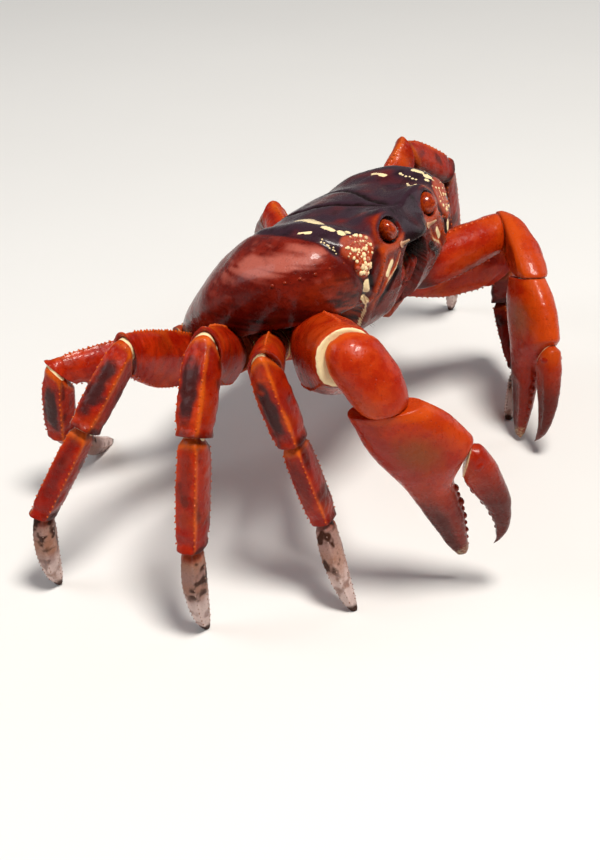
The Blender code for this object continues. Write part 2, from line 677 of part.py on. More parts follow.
def make_leg(side, leg, collection, grown):
    root = root_point(side, leg)
    points = [root_start(side, leg), root] + [Vector(place) for place in STANCE[(side, leg)]]
    planes = joint_planes(points)
    outward = Vector((SIDES[side], 0, 0))
    up = Vector((0, 0, 1))
    prefix = leg + "_" + side
    forms = bpy.data.collections["forms"]
    rise, fall, thick = MERUS_SIZE[leg]
    make_base(prefix + "_base", side, leg, points[2], rise, collection, grown)
    stations = scaled(MERUS_STATIONS, rise, fall, thick)
    merus = limb(points[1], points[2], up, stations, edges=BLADE)
    trim_ends(merus, planes[0], planes[1])
    merus = add_object(prefix + "_merus", merus, "limb", collection)
    segment = (points[1], points[2], up, stations, 0.0)
    spine_row(forms, segment, 0.0, (0.34, 0.44, 0.54, 0.64, 0.74, 0.84), 0.8, 0.9)
    spine_row(forms, segment, math.pi, (0.6, 0.72, 0.84), 0.7, 0.8)
    unite(merus, forms)
    cut_away(merus, grown)
    stations = scaled(CARPUS_STATIONS, *CARPUS_SIZE[leg])
    carpus = limb(points[2], points[3], outward, stations, edges=SQUARED)
    trim_ends(carpus, planes[1], planes[2])
    carpus = add_object(prefix + "_carpus", carpus, "limb", collection)
    segment = (points[2], points[3], outward, stations, 0.0)
    for angle in KEEL_ANGLES:
        spine_row(forms, segment, angle, (0.35, 0.65), 0.6, 0.7)
    unite(carpus, forms)
    stations = scaled(PROPODUS_STATIONS, *PROPODUS_SIZE[leg])
    propodus = limb(points[3], points[4], outward, stations, edges=SQUARED)
    trim_ends(propodus, planes[2], planes[3])
    propodus = add_object(prefix + "_propodus", propodus, "limb", collection)
    segment = (points[3], points[4], outward, stations, 0.0)
    for angle in KEEL_ANGLES:
        spine_row(forms, segment, angle, (0.25, 0.5, 0.75), 0.55, 0.7)
    unite(propodus, forms)
    high, thick = DACTYL_SIZE[leg]
    stations = scaled(DACTYL_STATIONS, high, high, thick)
    dactyl = limb(points[4], points[5], outward, stations, bow=DACTYL_BOW)
    trim_ends(dactyl, planes[3], None)
    dactyl = add_object(prefix + "_dactyl", dactyl, "foot", collection)
    segment = (points[4], points[5], outward, stations, DACTYL_BOW)
    for angle in (math.radians(45), math.radians(135), math.radians(-45), math.radians(-135)):
        spine_row(forms, segment, angle, (0.24, 0.44, 0.63), 0.5, 0.8)
    unite(dactyl, forms)
    cut_floor(dactyl)


KEEL_ANGLES = (math.radians(40), math.radians(-40))


def cut_floor(thing):
    """Give a foot its flat at floor level."""
    bm = bmesh.new()
    bm.from_mesh(thing.data)
    geometry = bm.verts[:] + bm.edges[:] + bm.faces[:]
    bmesh.ops.bisect_plane(bm, geom=geometry, dist=0.001 * MM, plane_co=(0, 0, 0), plane_no=(0, 0, -1),
                           clear_outer=True)
    rim = [edge for edge in bm.edges if edge.is_boundary]
    bmesh.ops.holes_fill(bm, edges=rim, sides=0)
    largest_piece(bm)
    bm.to_mesh(thing.data)
    bm.free()


# Outline of the palm with its fixed finger, in the claw's own plane:
# distance from the wrist, upper edge, lower edge, half thickness
PALM_STATIONS = (
    (-10.0, -2.0, -2.0, 0.0), (-8.0, 2.0, -6.5, 3.2), (-4.0, 4.6, -9.6, 4.6), (0.0, 6.6, -10.6, 5.4),
    (8.0, 11.0, -13.0, 6.4), (16.0, 13.2, -13.8, 6.6), (24.0, 13.4, -13.8, 6.4), (29.0, 6.5, -14.2, 5.8),
    (34.5, -0.8, -15.0, 5.0), (41.0, -3.6, -16.2, 4.3), (49.0, -7.4, -17.6, 3.5), (56.0, -11.4, -18.8, 2.6),
    (61.0, -14.6, -19.0, 1.6), (63.0, -16.8, -16.8, 0.0),
)
# Moving finger: distance from the wrist, height of its middle, half height, half thickness
FINGER_STATIONS = (
    (22.0, 8.0, 0.0, 0.0), (24.0, 7.2, 3.6, 2.8), (29.5, 6.8, 6.6, 4.4), (35.0, 7.4, 5.6, 4.3),
    (42.0, 6.2, 5.0, 3.9), (49.0, 4.6, 4.2, 3.3), (55.5, 1.8, 3.2, 2.5), (60.5, -1.8, 2.2, 1.7),
    (63.0, -5.0, 1.0, 0.9), (64.0, -7.4, 0.0, 0.0),
)
FINGER_CUT = ((30.0, 6.2), (0.81, 0.58))      # a point and the normal of the finger's hinge face


def claw_section(frame, along, low, high, thick, count=14):
    middle, half = (high + low) / 2, (high - low) / 2
    ring = []
    for k in range(count):
        angle = 2 * math.pi * k / count
        ring.append(frame @ Vector((along, middle + half * power(math.cos(angle), 0.9),
                                    thick * power(math.sin(angle), 0.9))))
    return ring


def claw_frame(side):
    """Matrix from the claw's own plane, millimetres from the wrist, to the world."""
    _, wrist, along, toward, size = CLAWS[side]
    start = Vector(wrist)
    x, y, z = frame_axes(start, start + Vector(along), Vector(toward))
    turn = Matrix((x, y, z)).transposed().to_4x4()
    return Matrix.Translation(start) @ turn @ Matrix.Scale(size, 4)


def make_claw(side, collection, grown):
    elbow, wrist, along, toward, size = CLAWS[side]
    root = root_point(side, "claw")
    elbow, wrist, along = Vector(elbow), Vector(wrist), Vector(along).normalized()
    points = [root_start(side, "claw"), root, elbow, wrist, wrist + along * 30]
    first = joint_planes(points)[0]
    lean = (elbow - root).normalized() * ELBOW_SHARE + (wrist - elbow).normalized() * (1 - ELBOW_SHARE)
    planes = [first, (elbow, lean.normalized()), (wrist, Vector(WRIST_NORMAL[side]).normalized())]
    prefix = "claw_" + side
    up = Vector((0, 0, 1))
    make_base(prefix + "_base", side, "claw", elbow, CLAW_BASE_HALF * size, collection, grown)
    stations = scaled(CLAW_MERUS_STATIONS, *CLAW_MERUS_SIZE[side])
    merus = limb(root, elbow, up, stations, count=14, edges=CLAW_MERUS_EDGES)
    trim_ends(merus, planes[0], planes[1])
    cut_away(add_object(prefix + "_merus", merus, "claw", collection), grown)
    stations = scaled(CLAW_CARPUS_STATIONS, *CLAW_CARPUS_SIZE[side])
    carpus = limb(elbow, wrist, Vector(CARPUS_BULGE), stations, count=14)
    trim_ends(carpus, planes[1], planes[2])
    add_object(prefix + "_carpus", carpus, "claw", collection)
    frame = claw_frame(side)
    rings = [claw_section(frame, *row[:1], row[2], row[1], row[3]) for row in PALM_STATIONS[1:-1]]
    tips = [frame @ Vector((row[0], row[1], 0)) for row in (PALM_STATIONS[0], PALM_STATIONS[-1])]
    palm = loft(rings, tips[0], tips[1])
    trim_ends(palm, planes[2], None)
    hinge = frame @ Vector((*FINGER_CUT[0], 0))
    normal = (frame.to_3x3() @ Vector((*FINGER_CUT[1], 0))).normalized()
    palm = add_object(prefix + "_palm", palm, "claw", collection)
    rings = [claw_section(frame, row[0], row[1] - row[2], row[1] + row[2], row[3], 10)
             for row in FINGER_STATIONS[1:-1]]
    tips = [frame @ Vector((row[0], row[1], 0)) for row in (FINGER_STATIONS[0], FINGER_STATIONS[-1])]
    finger = loft(rings, tips[0], tips[1])
    trim(finger, hinge + normal * GAP / 2, -normal)
    finger = add_object(prefix + "_finger", finger, "claw", collection)
    grown_finger = inflated(finger, GAP)
    as_cutter(grown_finger, bpy.data.collections["cutters"])
    cut_away(palm, [grown_finger])
    forms = bpy.data.collections["forms"]
    teeth(frame, forms, PALM_STATIONS, (38.5, 43.0, 47.5, 51.5, 55.0), 1)
    unite(palm, forms)
    teeth(frame, forms, FINGER_STATIONS, (40.0, 44.5, 49.0, 53.5, 57.5), -1)
    unite(finger, forms)


def teeth(frame, forms, stations, places, facing):
    """Blunt teeth along the gripping edge: the palm's upper edge or the finger's lower one."""
    for number, along in enumerate(places):
        if facing > 0:
            edge = between(stations, along, 1)
        else:
            edge = between(stations, along, 1) - between(stations, along, 2)
        size = 1.25 - 0.13 * number
        base = frame @ Vector((along, edge, 0))
        out = frame.to_3x3() @ Vector((0.15, facing, 0))
        add_spine(forms, base, out, size, size * 1.1, 6)


def centre_footprint(collection):
    """Move the whole model so that the middle of its footprint is the origin."""
    points = [vert.co for thing in collection.objects for vert in thing.data.vertices]
    middle = []
    for axis in (0, 1):
        places = [point[axis] for point in points]
        middle.append((min(places) + max(places)) / 2)
    move = Matrix.Translation((-middle[0], -middle[1], 0))
    for thing in collection.objects:
        thing.data.transform(move)
    print("footprint middle, mm:", [round(value / MM, 3) for value in middle])


def main():
    clear_scene()
    parts = new_collection("red_crab")
    cutters = new_collection("cutters")
    forms = new_collection("forms")
    carapace, around_shell, around_openings = make_carapace(parts, cutters)
    shell_bumps(carapace, forms)
    unite(carapace, forms)
    thorax = make_thorax(parts, [around_shell])
    around_thorax = inflated(thorax, GAP + CUT_MARGIN)
    as_cutter(around_thorax, cutters)
    grown = [around_shell, around_thorax]
    make_abdomen(parts, grown)
    for name, sign in SIDES.items():
        make_eye(name, sign, parts, [around_openings])
        make_mouthparts(name, sign, parts, [around_openings, around_thorax])
        make_antenna(name, sign, parts, [around_openings])
        make_claw(name, parts, grown)
        for leg in LEGS:
            make_leg(name, leg, parts, grown)
    for cutter in list(cutters.objects):
        bpy.data.objects.remove(cutter, do_unlink=True)
    for spent in (cutters, forms):
        bpy.data.collections.remove(spent)
    centre_footprint(parts)


main()
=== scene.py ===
# Christmas Island red crab (Gecarcoidea natalis), dressed as a life-size museum model.
import math

import bpy
import numpy as np
from mathutils import Matrix, Vector


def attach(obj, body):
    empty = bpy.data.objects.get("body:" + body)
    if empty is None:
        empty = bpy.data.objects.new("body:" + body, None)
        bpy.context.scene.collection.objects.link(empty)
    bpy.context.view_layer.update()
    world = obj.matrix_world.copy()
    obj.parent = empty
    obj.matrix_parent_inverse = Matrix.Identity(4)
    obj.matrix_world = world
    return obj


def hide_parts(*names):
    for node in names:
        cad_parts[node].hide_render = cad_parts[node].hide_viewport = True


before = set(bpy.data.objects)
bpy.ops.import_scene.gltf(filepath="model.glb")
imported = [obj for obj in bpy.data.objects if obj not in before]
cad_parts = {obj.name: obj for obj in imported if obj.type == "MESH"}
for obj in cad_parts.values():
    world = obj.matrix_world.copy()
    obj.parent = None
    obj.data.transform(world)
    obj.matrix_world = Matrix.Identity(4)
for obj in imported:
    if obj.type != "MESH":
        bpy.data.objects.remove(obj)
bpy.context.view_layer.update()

MM = 0.001
SHIFT = np.array((-6.247, 5.662, 0.0))    # from the body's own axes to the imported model's, mm
GAP = 0.3
FLIP = np.array((1, -1, 1))    # from body terms of side, forward and up to side, backward and up
SIDES = {"left": 1, "right": -1}
MASKS = ("pale", "dark", "warm", "grey", "painted_sheen_and_tint")
random = np.random.default_rng(7)

# The body's own axes, and its measures in millimetres
BODY = np.array(Matrix.Translation((0, 0, 78.8)) @ Matrix.Rotation(math.radians(-20.4), 4, "X")
                @ Matrix.Rotation(math.radians(5.7), 4, "Y"))
# Sections of the shell and of the thorax: forward, half width, height of the edge, rise and fall from it
CARAPACE = np.array((
    (43.0, 0.0, -2.0, 0.0, 0.0), (42.0, 13.0, -2.0, 6.0, 3.5), (39.5, 27.0, -1.5, 10.0, 8.0),
    (34.0, 39.0, -0.5, 13.2, 15.0), (26.0, 49.0, 0.0, 16.5, 24.0), (16.0, 54.0, 0.0, 18.5, 27.0),
    (5.0, 55.0, -0.5, 18.5, 24.0), (-8.0, 53.5, -3.0, 16.0, 22.0), (-21.0, 46.0, -7.0, 11.5, 21.0),
    (-33.0, 35.0, -11.0, 7.0, 19.0), (-41.0, 24.5, -14.5, 4.5, 14.0), (-43.0, 17.5, -15.5, 3.0, 9.0),
    (-43.6, 0.0, -16.0, 0.0, 0.0)))
THORAX = np.array((
    (31.0, 0.0, -13.0, 2.0, 2.0), (29.0, 12.0, -13.0, 5.0, 3.0), (20.0, 22.0, -14.0, 8.0, 7.0),
    (12.0, 31.0, -13.0, 8.0, 16.5), (-8.0, 31.0, -15.0, 8.0, 15.0), (-25.0, 25.0, -18.0, 8.0, 12.0),
    (-36.0, 15.0, -22.0, 8.0, 8.0), (-39.0, 0.0, -23.0, 4.0, 4.0)))
# How far the middle of the back is sunk between the two swellings: forward place, depth
SINK = np.array(((-44, 0), (-30, 2.2), (-18, 3.3), (-8, 3.6), (4, 3.8), (10, 4.0), (17, 4.8), (22, 5.8),
                 (27, 6.4), (32, 6.0), (35, 4.6), (39, 2.0), (43, 0)), float)
WALL = np.array(((-44, 0.55), (-20, 0.9), (0, 1.0), (30, 1.1), (44, 1.1)))
# Grooves on the shell before its middle is sunk: round the middle of the back, and round a swelling
WISHBONE = ((0.6, 38.0, 9.7), (0.8, 31.0, 14.3), (3.0, 25.0, 16.7), (6.5, 19.0, 18.0), (9.0, 14.0, 18.4),
            (11.5, 8.5, 18.1), (12.5, 1.0, 17.0), (10.5, -8.0, 12.9), (13.0, -15.0, 9.0))
SWELLING = ((22.0, -14.0, 8.5), (30.0, -4.0, 13.2), (36.0, 5.0, 14.6), (39.5, 12.0, 14.1), (41.5, 19.5, 12.5),
            (41.5, 25.0, 10.6), (41.0, 29.5, 7.5), (39.5, 32.6, 4.0), (36.5, 35.0, -2.4), (34.0, 35.2, -7.5),
            (33.0, 33.0, -11.0), (28.5, 29.5, -16.0))
EYE_PLACE = np.array((15.2, 36.6, 3.9))
EYE_TURN = math.radians(24)
SOCKET_RADII = np.array((6.4, 6.0, 4.6))
EYE_RADII = (2.75, 3.8, 3.75)
EYE_LEAN = 0.42
EYE_STALK = (3.3, 2.6, 3.6)
MOUTH_PLACE = np.array((0, 26.8, -16.4))
MOUTH_SIZE = np.array((10.8, 6.0, 16.8))
MOUTH_LEAN = math.radians(43)
MAXILLIPED = np.array((5.2, 24.6, -18.4))
MAXILLIPED_RADII = (4.7, 2.3, 11.2)
MAXILLIPED_LEAN = math.radians(45)
FACE, FACE_SHARE = 34.0, 0.36    # where the front is flattened, and how much of it is kept
GOLDEN = math.radians(137.5)
GRANULES, GRANULE_SPREAD = 92, 6.4
BRISTLES = 60

# Where the limbs leave the body, in body terms of side, forward and up
ROOTS = {"claw": (34, 13, -22), "leg_1": (41, 0.5, -21), "leg_2": (41, -13, -21),
         "leg_3": (38, -27.8, -20.6), "leg_4": (30, -41, -17)}
LEGS = ("leg_1", "leg_2", "leg_3", "leg_4")
# Each leg's joints after its root, out to its tip, in world terms
STANCE = {
    ("right", "leg_1"): ((-80, -23, 80), (-79, -31, 57), (-75, -39, 29), (-77, -50, 0)),
    ("right", "leg_2"): ((-83, -6, 83), (-99, -10, 64), (-107, -12, 32), (-103, -13, 0)),
    ("right", "leg_3"): ((-80, 23, 74), (-97, 28, 56), (-107, 39, 29), (-103, 39, 0)),
    ("right", "leg_4"): ((-64, 59, 51), (-63, 61, 29), (-46, 66, 13), (-24, 68, 0)),
    ("left", "leg_1"): ((73, -44, 50), (78, -43, 32), (59, -57, 16), (48, -57, 0)),
    ("left", "leg_2"): ((75, -3, 84), (95.5, -11, 71.5), (106, -12, 35), (123, -7, 0)),
    ("left", "leg_3"): ((64, 45, 55.5), (82, 57, 40.5), (104, 67, 25), (117, 73, 0)),
    ("left", "leg_4"): ((42, 57, 32), (62, 64, 29), (82, 71, 18), (96, 77, 0)),
}
# Each claw's elbow and wrist, the ways along its palm and up its biting side, and its size
CLAWS = {
    "right": ((-73, -44.4, 84.8), (-72, -56, 70), (0.375, -0.524, -0.765), (0.142, -0.783, 0.606), 1.0),
    "left": ((62, -45, 67), (47, -61, 59), (-0.34, -0.275, -0.89), (-0.536, -0.72, 0.426), 0.9),
}
ELBOW_SHARE = 0.75
WRIST_NORMAL = {"right": (0.07, -0.18, -0.98), "left": (-0.29, -0.18, -0.93)}
CARPUS_BULGE = (0.47, -0.69, 0.58)
ARC = {"right": 1.0, "left": 0.3}    # how pale the rims of the elbow are
# Rise, fall and thickness of each leg's merus, carpus, propodus and dactyl
LEG_SIZES = {
    "leg_1": ((6.4, 12.0, 5.0), (5.4, 4.8, 4.3), (4.5, 4.5, 3.5), (3.8, 3.8, 3.2)),
    "leg_2": ((7.4, 10.0, 4.8), (6.1, 5.4, 4.8), (5.2, 5.2, 4.0), (4.0, 4.0, 3.4)),
    "leg_3": ((7.0, 10.5, 4.6), (5.8, 5.2, 4.5), (4.8, 4.8, 3.8), (3.8, 3.8, 3.1)),
    "leg_4": ((5.8, 7.2, 4.0), (5.4, 5.0, 4.2), (4.4, 4.4, 3.4), (3.3, 3.3, 2.8)),
}
# Shares of the segments' sizes: along, rise, fall, thickness
MERUS_ROWS = (
    (-0.08, 0.62, 0.45, 0.7), (0.04, 0.75, 0.6, 0.85), (0.25, 0.95, 0.92, 1.0), (0.5, 1.0, 1.0, 1.0),
    (0.75, 0.95, 0.85, 1.0), (0.94, 0.86, 0.62, 0.95), (1.1, 0.82, 0.55, 0.9))
CARPUS_ROWS = (
    (-0.2, 0.86, 0.8, 0.85), (0.0, 0.92, 0.85, 0.9), (0.35, 1.05, 0.95, 1.0), (0.7, 1.0, 1.0, 1.0),
    (1.0, 0.9, 0.92, 0.92), (1.2, 0.88, 0.9, 0.9))
PROPODUS_ROWS = (
    (-0.1, 0.84, 0.82, 0.84), (0.05, 0.9, 0.88, 0.9), (0.4, 1.0, 1.0, 1.0), (0.8, 0.95, 0.95, 0.98),
    (1.0, 0.86, 0.86, 0.92), (1.2, 0.86, 0.86, 0.9))
DACTYL_ROWS = (
    (-0.1, 0.8, 0.8, 0.8), (0.08, 0.9, 0.9, 0.9), (0.3, 1.0, 1.0, 1.0), (0.55, 0.88, 0.88, 0.88),
    (0.8, 0.64, 0.64, 0.64), (0.97, 0.32, 0.32, 0.36), (1.04, 0.12, 0.12, 0.12))
CLAW_MERUS_ROWS = (
    (-0.16, 0, 0, 0), (-0.1, 0.5, 0.6, 0.5), (0.04, 0.8, 0.95, 0.85), (0.3, 1.0, 1.12, 1.0),
    (0.6, 1.0, 1.05, 1.0), (0.85, 0.94, 0.82, 0.97), (1.0, 0.88, 0.66, 0.9), (1.12, 0.7, 0.5, 0.7),
    (1.2, 0, 0, 0))
CLAW_CARPUS_ROWS = (
    (-0.36, 0, 0, 0), (-0.3, 0.42, 0.5, 0.45), (-0.14, 0.74, 0.82, 0.78), (0.15, 0.98, 1.0, 1.0),
    (0.55, 1.0, 1.0, 1.0), (0.9, 0.86, 0.95, 0.9), (1.2, 0.6, 0.8, 0.65), (1.4, 0.35, 0.5, 0.4),
    (1.5, 0, 0, 0))
DACTYL_BOW = 1.8
CLAW_BASE_HALF = 6.2
CLAW_MERUS_SIZE = {"right": (9.5, 12.8, 9.8), "left": (7.6, 6.9, 7.4)}
CLAW_CARPUS_SIZE = {"right": (10.4, 6.6, 8.4), "left": (8.8, 5.0, 7.2)}
# Outlines of the claw's two parts. Palm: along, top, bottom, half thickness. Finger: along, middle, half
# height, half thickness
PALM_ROWS = np.array((
    (-10.0, -2.0, -2.0, 0.0), (-8.0, 2.0, -6.5, 3.2), (-4.0, 4.6, -9.6, 4.6), (0.0, 6.6, -10.6, 5.4),
    (8.0, 11.0, -13.0, 6.4), (16.0, 13.2, -13.8, 6.6), (24.0, 13.4, -13.8, 6.4), (29.0, 6.5, -14.2, 5.8),
    (34.5, -0.8, -15.0, 5.0), (41.0, -3.6, -16.2, 4.3), (49.0, -7.4, -17.6, 3.5), (56.0, -11.4, -18.8, 2.6),
    (61.0, -14.6, -19.0, 1.6), (63.0, -16.8, -17.0, 0.2)))
FINGER_ROWS = np.array((
    (22.0, 8.0, 2.4, 1.8), (24.0, 7.2, 3.9, 2.9), (29.5, 6.8, 6.6, 4.4), (35.0, 7.4, 5.6, 4.3),
    (42.0, 6.2, 5.0, 3.9), (49.0, 4.6, 4.2, 3.3), (55.5, 1.8, 3.2, 2.5), (60.5, -1.8, 2.2, 1.7),
    (63.0, -5.0, 1.0, 0.9), (64.0, -7.4, 0.15, 0.15)))
FINGER_CUT = ((30.0, 6.2), (0.81, 0.58))
PALM_TEETH = (1.5, 1.1, 1.7, 1.2, 1.4, 1.0, 1.1, 0.8, 0.6)
FINGER_TEETH = (1.3, 1.6, 1.1, 1.4, 1.0, 1.2, 0.9, 0.8, 0.5)
TOOTH_SIZE = np.array((0.95, 0.8, 0.75))
TOOTH_SUNK = 0.35
FOCAL, SENSOR, PICTURE_HEIGHT = 1500, 36, 860    # the camera's, in pixels, mm and pixels


# Numbers and shapes
def ramp(low, high, value):
    share = np.clip((value - low) / (high - low), 0, 1)
    return share * share * (3 - 2 * share)


def full_turn(count):
    return np.linspace(0, 2 * math.pi, count, endpoint=False)


def peak(value, width, shape=2):
    return np.exp(-(value / width) ** shape)


def power(value, exponent):
    return np.sign(value) * np.abs(value) ** exponent


def rows_at(rows, place, column):
    """Smooth value of one column of a table, held beyond its ends."""
    rows = np.array(sorted(tuple(row) for row in rows), float)
    x, y = rows[:, 0], rows[:, column]
    span = np.diff(x)
    rise = np.diff(y) / span
    slope = np.zeros(len(x))
    slope[0], slope[-1] = rise[0], rise[-1]
    product, total = rise[:-1] * rise[1:], rise[:-1] + rise[1:]
    slope[1:-1] = np.where(product > 0, 2 * product / np.where(total == 0, 1, total), 0)
    place = np.clip(place, x[0], x[-1])
    k = np.clip(np.searchsorted(x, place, side="right") - 1, 0, len(span) - 1)
    t = (place - x[k]) / span[k]
    return ((2 * t**3 - 3 * t**2 + 1) * y[k] + (t**3 - 2 * t**2 + t) * span[k] * slope[k]
            + (3 * t**2 - 2 * t**3) * y[k + 1] + (t**3 - t**2) * span[k] * slope[k + 1])


def hashed(lattice, seed):
    x, y, z = (lattice[..., axis].astype(np.int64) for axis in range(3))
    value = (x * 73856093) ^ (y * 19349663) ^ (z * 83492791) ^ (seed * 40503)
    value = ((value ^ (value >> 13)) * 1274126177) & 0xFFFFFFFF
    return ((value ^ (value >> 16)) & 0xFFFFFF) / 0xFFFFFF


def lumps(places, size, seed=0):
    """Smooth noise from -1 to 1 with features of a size in millimetres."""
    scaled = places / size
    base = np.floor(scaled)
    t = scaled - base
    t = t * t * (3 - 2 * t)
    total = np.zeros(places.shape[:-1])
    for corner in np.ndindex(2, 2, 2):
        corner = np.array(corner)
        total += np.prod(np.where(corner, t, 1 - t), axis=-1) * hashed(base + corner, seed)
    return total * 2 - 1


def rough(places, coarse, coarse_size, fine, fine_size, seed):
    """Coarse and fine lumps, each of a height and a size."""
    return coarse * lumps(places, coarse_size, seed) + fine * lumps(places, fine_size, seed + 1)


def wrapped(angle):
    """An angle from half a turn back to half a turn on."""
    return (angle + math.pi) % (2 * math.pi) - math.pi


def unit(vector):
    vector = np.asarray(vector, float)
    return vector / (np.linalg.norm(vector, axis=-1, keepdims=True) + 1e-12)


def path_gap(places, path):
    """How far each place is from a path of straight stretches."""
    nearest = np.full(places.shape[:-1], 1e9)
    for start, end in zip(path, path[1:]):
        start, along = np.array(start, float), np.subtract(end, start).astype(float)
        share = np.clip(((places - start) @ along) / (along @ along), 0, 1)
        nearest = np.minimum(nearest, np.linalg.norm(places - start - share[..., None] * along, axis=-1))
    return nearest


def to_world(places):
    return np.asarray(places, float) * FLIP @ BODY[:3, :3].T + BODY[:3, 3]


def to_way(directions):
    return np.asarray(directions, float) * FLIP @ BODY[:3, :3].T


def path_points(path, count):
    """Evenly spaced points along a path."""
    path = np.array(path, float)
    steps = np.concatenate(([0], np.cumsum(np.linalg.norm(np.diff(path, axis=0), axis=1))))
    wanted = np.linspace(0, steps[-1], count)
    return np.stack([np.interp(wanted, steps, path[:, axis]) for axis in range(3)], -1)


def grid_normals(grid):
    """Normals of a grid whose rows are closed rings."""
    around = np.roll(grid, -1, 1) - np.roll(grid, 1, 1)
    along = np.gradient(grid, axis=0)
    return unit(np.cross(around, along))


# Pieces
class Form:
    """Points, faces and colour masks of one piece, in millimetres."""

    def __init__(self):
        self.points, self.masks, self.quads, self.tris, self.kinds = [], [], [], [], []
        self.count = 0

    def add(self, points, quads, tris, masks=None, kind=0):
        points = np.asarray(points, float).reshape(-1, 3)
        values = np.zeros((len(points), len(MASKS)))
        for name, value in (masks or {}).items():
            values[:, MASKS.index(name)] = np.clip(np.broadcast_to(np.ravel(value), len(points)), 0, 1)
        self.points.append(points)
        self.masks.append(values)
        self.quads.append((np.asarray(quads, int).reshape(-1, 4) + self.count, kind))
        self.tris.append((np.asarray(tris, int).reshape(-1, 3) + self.count, kind))
        self.count += len(points)

    def add_grid(self, grid, masks=None, kind=0):
        """A grid of closed rings with a fan over each end."""
        rows, columns = grid.shape[:2]
        row, column = np.meshgrid(np.arange(rows - 1), np.arange(columns), indexing="ij")
        a = row * columns + column
        b = row * columns + (column + 1) % columns
        quads = np.stack([a, b, b + columns, a + columns], -1)
        ends = np.array([grid[0].mean(0), grid[-1].mean(0)])
        near = np.arange(columns)
        after = (near + 1) % columns
        far = (rows - 1) * columns
        total = rows * columns
        tris = np.concatenate([np.stack([after, near, np.full(columns, total)], -1),
                               np.stack([near + far, after + far, np.full(columns, total + 1)], -1)])
        values = {}
        for name, value in (masks or {}).items():
            value = np.broadcast_to(value, (rows, columns))
            values[name] = np.concatenate([value.ravel(), [value[0].mean(), value[-1].mean()]])
        self.add(np.concatenate([grid.reshape(-1, 3), ends]), quads, tris, values, kind)

    def add_copies(self, shape, places, axes, sizes, masks=None, kind=0):
        """Copies of a unit grid. Axes holds one 3 by 3 matrix of columns for each place."""
        for number, (place, turn, size) in enumerate(zip(places, axes, sizes)):
            values = {name: float(np.ravel(value)[number % np.size(value)])
                      for name, value in (masks or {}).items()}
            self.add_grid((shape * size) @ turn.T + place, values, kind)

    def make(self, materials, *replaces, name=None):
        """The piece itself. It is named for the node that it stands for, unless it has a name."""
        name = name or replaces[0] + "_detail"
        points = (np.concatenate(self.points) + SHIFT) * MM
        masks = np.concatenate(self.masks)
        quads = np.concatenate([faces for faces, _ in self.quads])
        tris = np.concatenate([faces for faces, _ in self.tris])
        kinds = np.concatenate([np.full(len(faces), kind) for faces, kind in self.quads + self.tris])
        mesh = bpy.data.meshes.new(name)
        mesh.vertices.add(len(points))
        mesh.vertices.foreach_set("co", points.astype(np.float32).ravel())
        loops = np.concatenate([quads.ravel(), tris.ravel()])
        mesh.loops.add(len(loops))
        mesh.loops.foreach_set("vertex_index", loops.astype(np.int32))
        starts = np.concatenate([np.arange(len(quads)) * 4, len(quads) * 4 + np.arange(len(tris)) * 3])
        mesh.polygons.add(len(starts))
        mesh.polygons.foreach_set("loop_start", starts.astype(np.int32))
        mesh.polygons.foreach_set("material_index", kinds.astype(np.int32))
        for column, mask in enumerate(MASKS):
            layer = mesh.attributes.new(mask, "FLOAT", "POINT")
            layer.data.foreach_set("value", masks[:, column].astype(np.float32))
        mesh.validate()
        mesh.update()
        mesh.shade_smooth()
        for material in materials:
            mesh.materials.append(material)
        piece = bpy.data.objects.new(name, mesh)
        bpy.context.scene.collection.objects.link(piece)
        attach(piece, "root")
        if replaces:
            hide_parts(*replaces)


def unit_ball(rows=7, columns=10):
    polar = np.linspace(0.2, math.pi - 0.2, rows)[:, None]
    turn = full_turn(columns)[None]
    return np.stack([np.sin(polar) * np.cos(turn), np.sin(polar) * np.sin(turn),
                     np.cos(polar) + 0 * turn], -1)


def unit_spine(rows=6, columns=8, bend=0.35):
    """A curved tooth of unit base radius and unit height along Z, leaning along X, sunk at its base."""
    height = np.linspace(-0.25, 1.0, rows)[:, None]
    turn = full_turn(columns)[None]
    width = np.where(height < 0, 1.1, np.clip(1 - height, 0, 1) ** 0.75 * 0.93 + 0.07)
    lean = bend * np.clip(height, 0, 1) ** 2
    return np.stack([width * np.cos(turn) + lean, width * np.sin(turn), height + 0 * turn], -1)


BEAD = unit_ball()
SPINE = unit_spine()


def axes_from(outs, ahead):
    """Matrices whose Z column points out and whose X column points ahead."""
    outs = unit(outs)
    ahead = np.broadcast_to(ahead, outs.shape)
    across = unit(np.cross(outs, ahead))
    return np.stack([np.cross(across, outs), across, outs], -1)


def add_hairs(form, roots, directions, length, radius, droop, kind=0):
    """Thin tapered hairs that bend toward the droop direction."""
    lengths = length * (0.7 + 0.6 * random.random(len(roots)))
    share = np.array((0.0, 0.35, 0.7, 1.0))
    turn = full_turn(3)
    for root, direction, reach in zip(roots, unit(directions), lengths):
        side = unit(np.cross(direction, (0.3, 0.5, 0.8)))
        other = np.cross(direction, side)
        middle = root + share[:, None] * reach * direction + (share**2)[:, None] * reach * np.asarray(droop)
        width = radius * (1 - 0.8 * share)
        ring = np.cos(turn)[:, None] * side + np.sin(turn)[:, None] * other
        form.add_grid(middle[:, None] + width[:, None, None] * ring[None], {}, kind)


# Materials
def new_material(name, roughness, coat=0.0, coat_roughness=0.1, specular=0.5):
    made = bpy.data.materials.new(name)
    made.use_nodes = True
    shader = made.node_tree.nodes["Principled BSDF"]
    shader.inputs["Roughness"].default_value = roughness
    shader.inputs["Coat Weight"].default_value = coat
    shader.inputs["Coat Roughness"].default_value = coat_roughness
    shader.inputs["Specular IOR Level"].default_value = specular
    return made


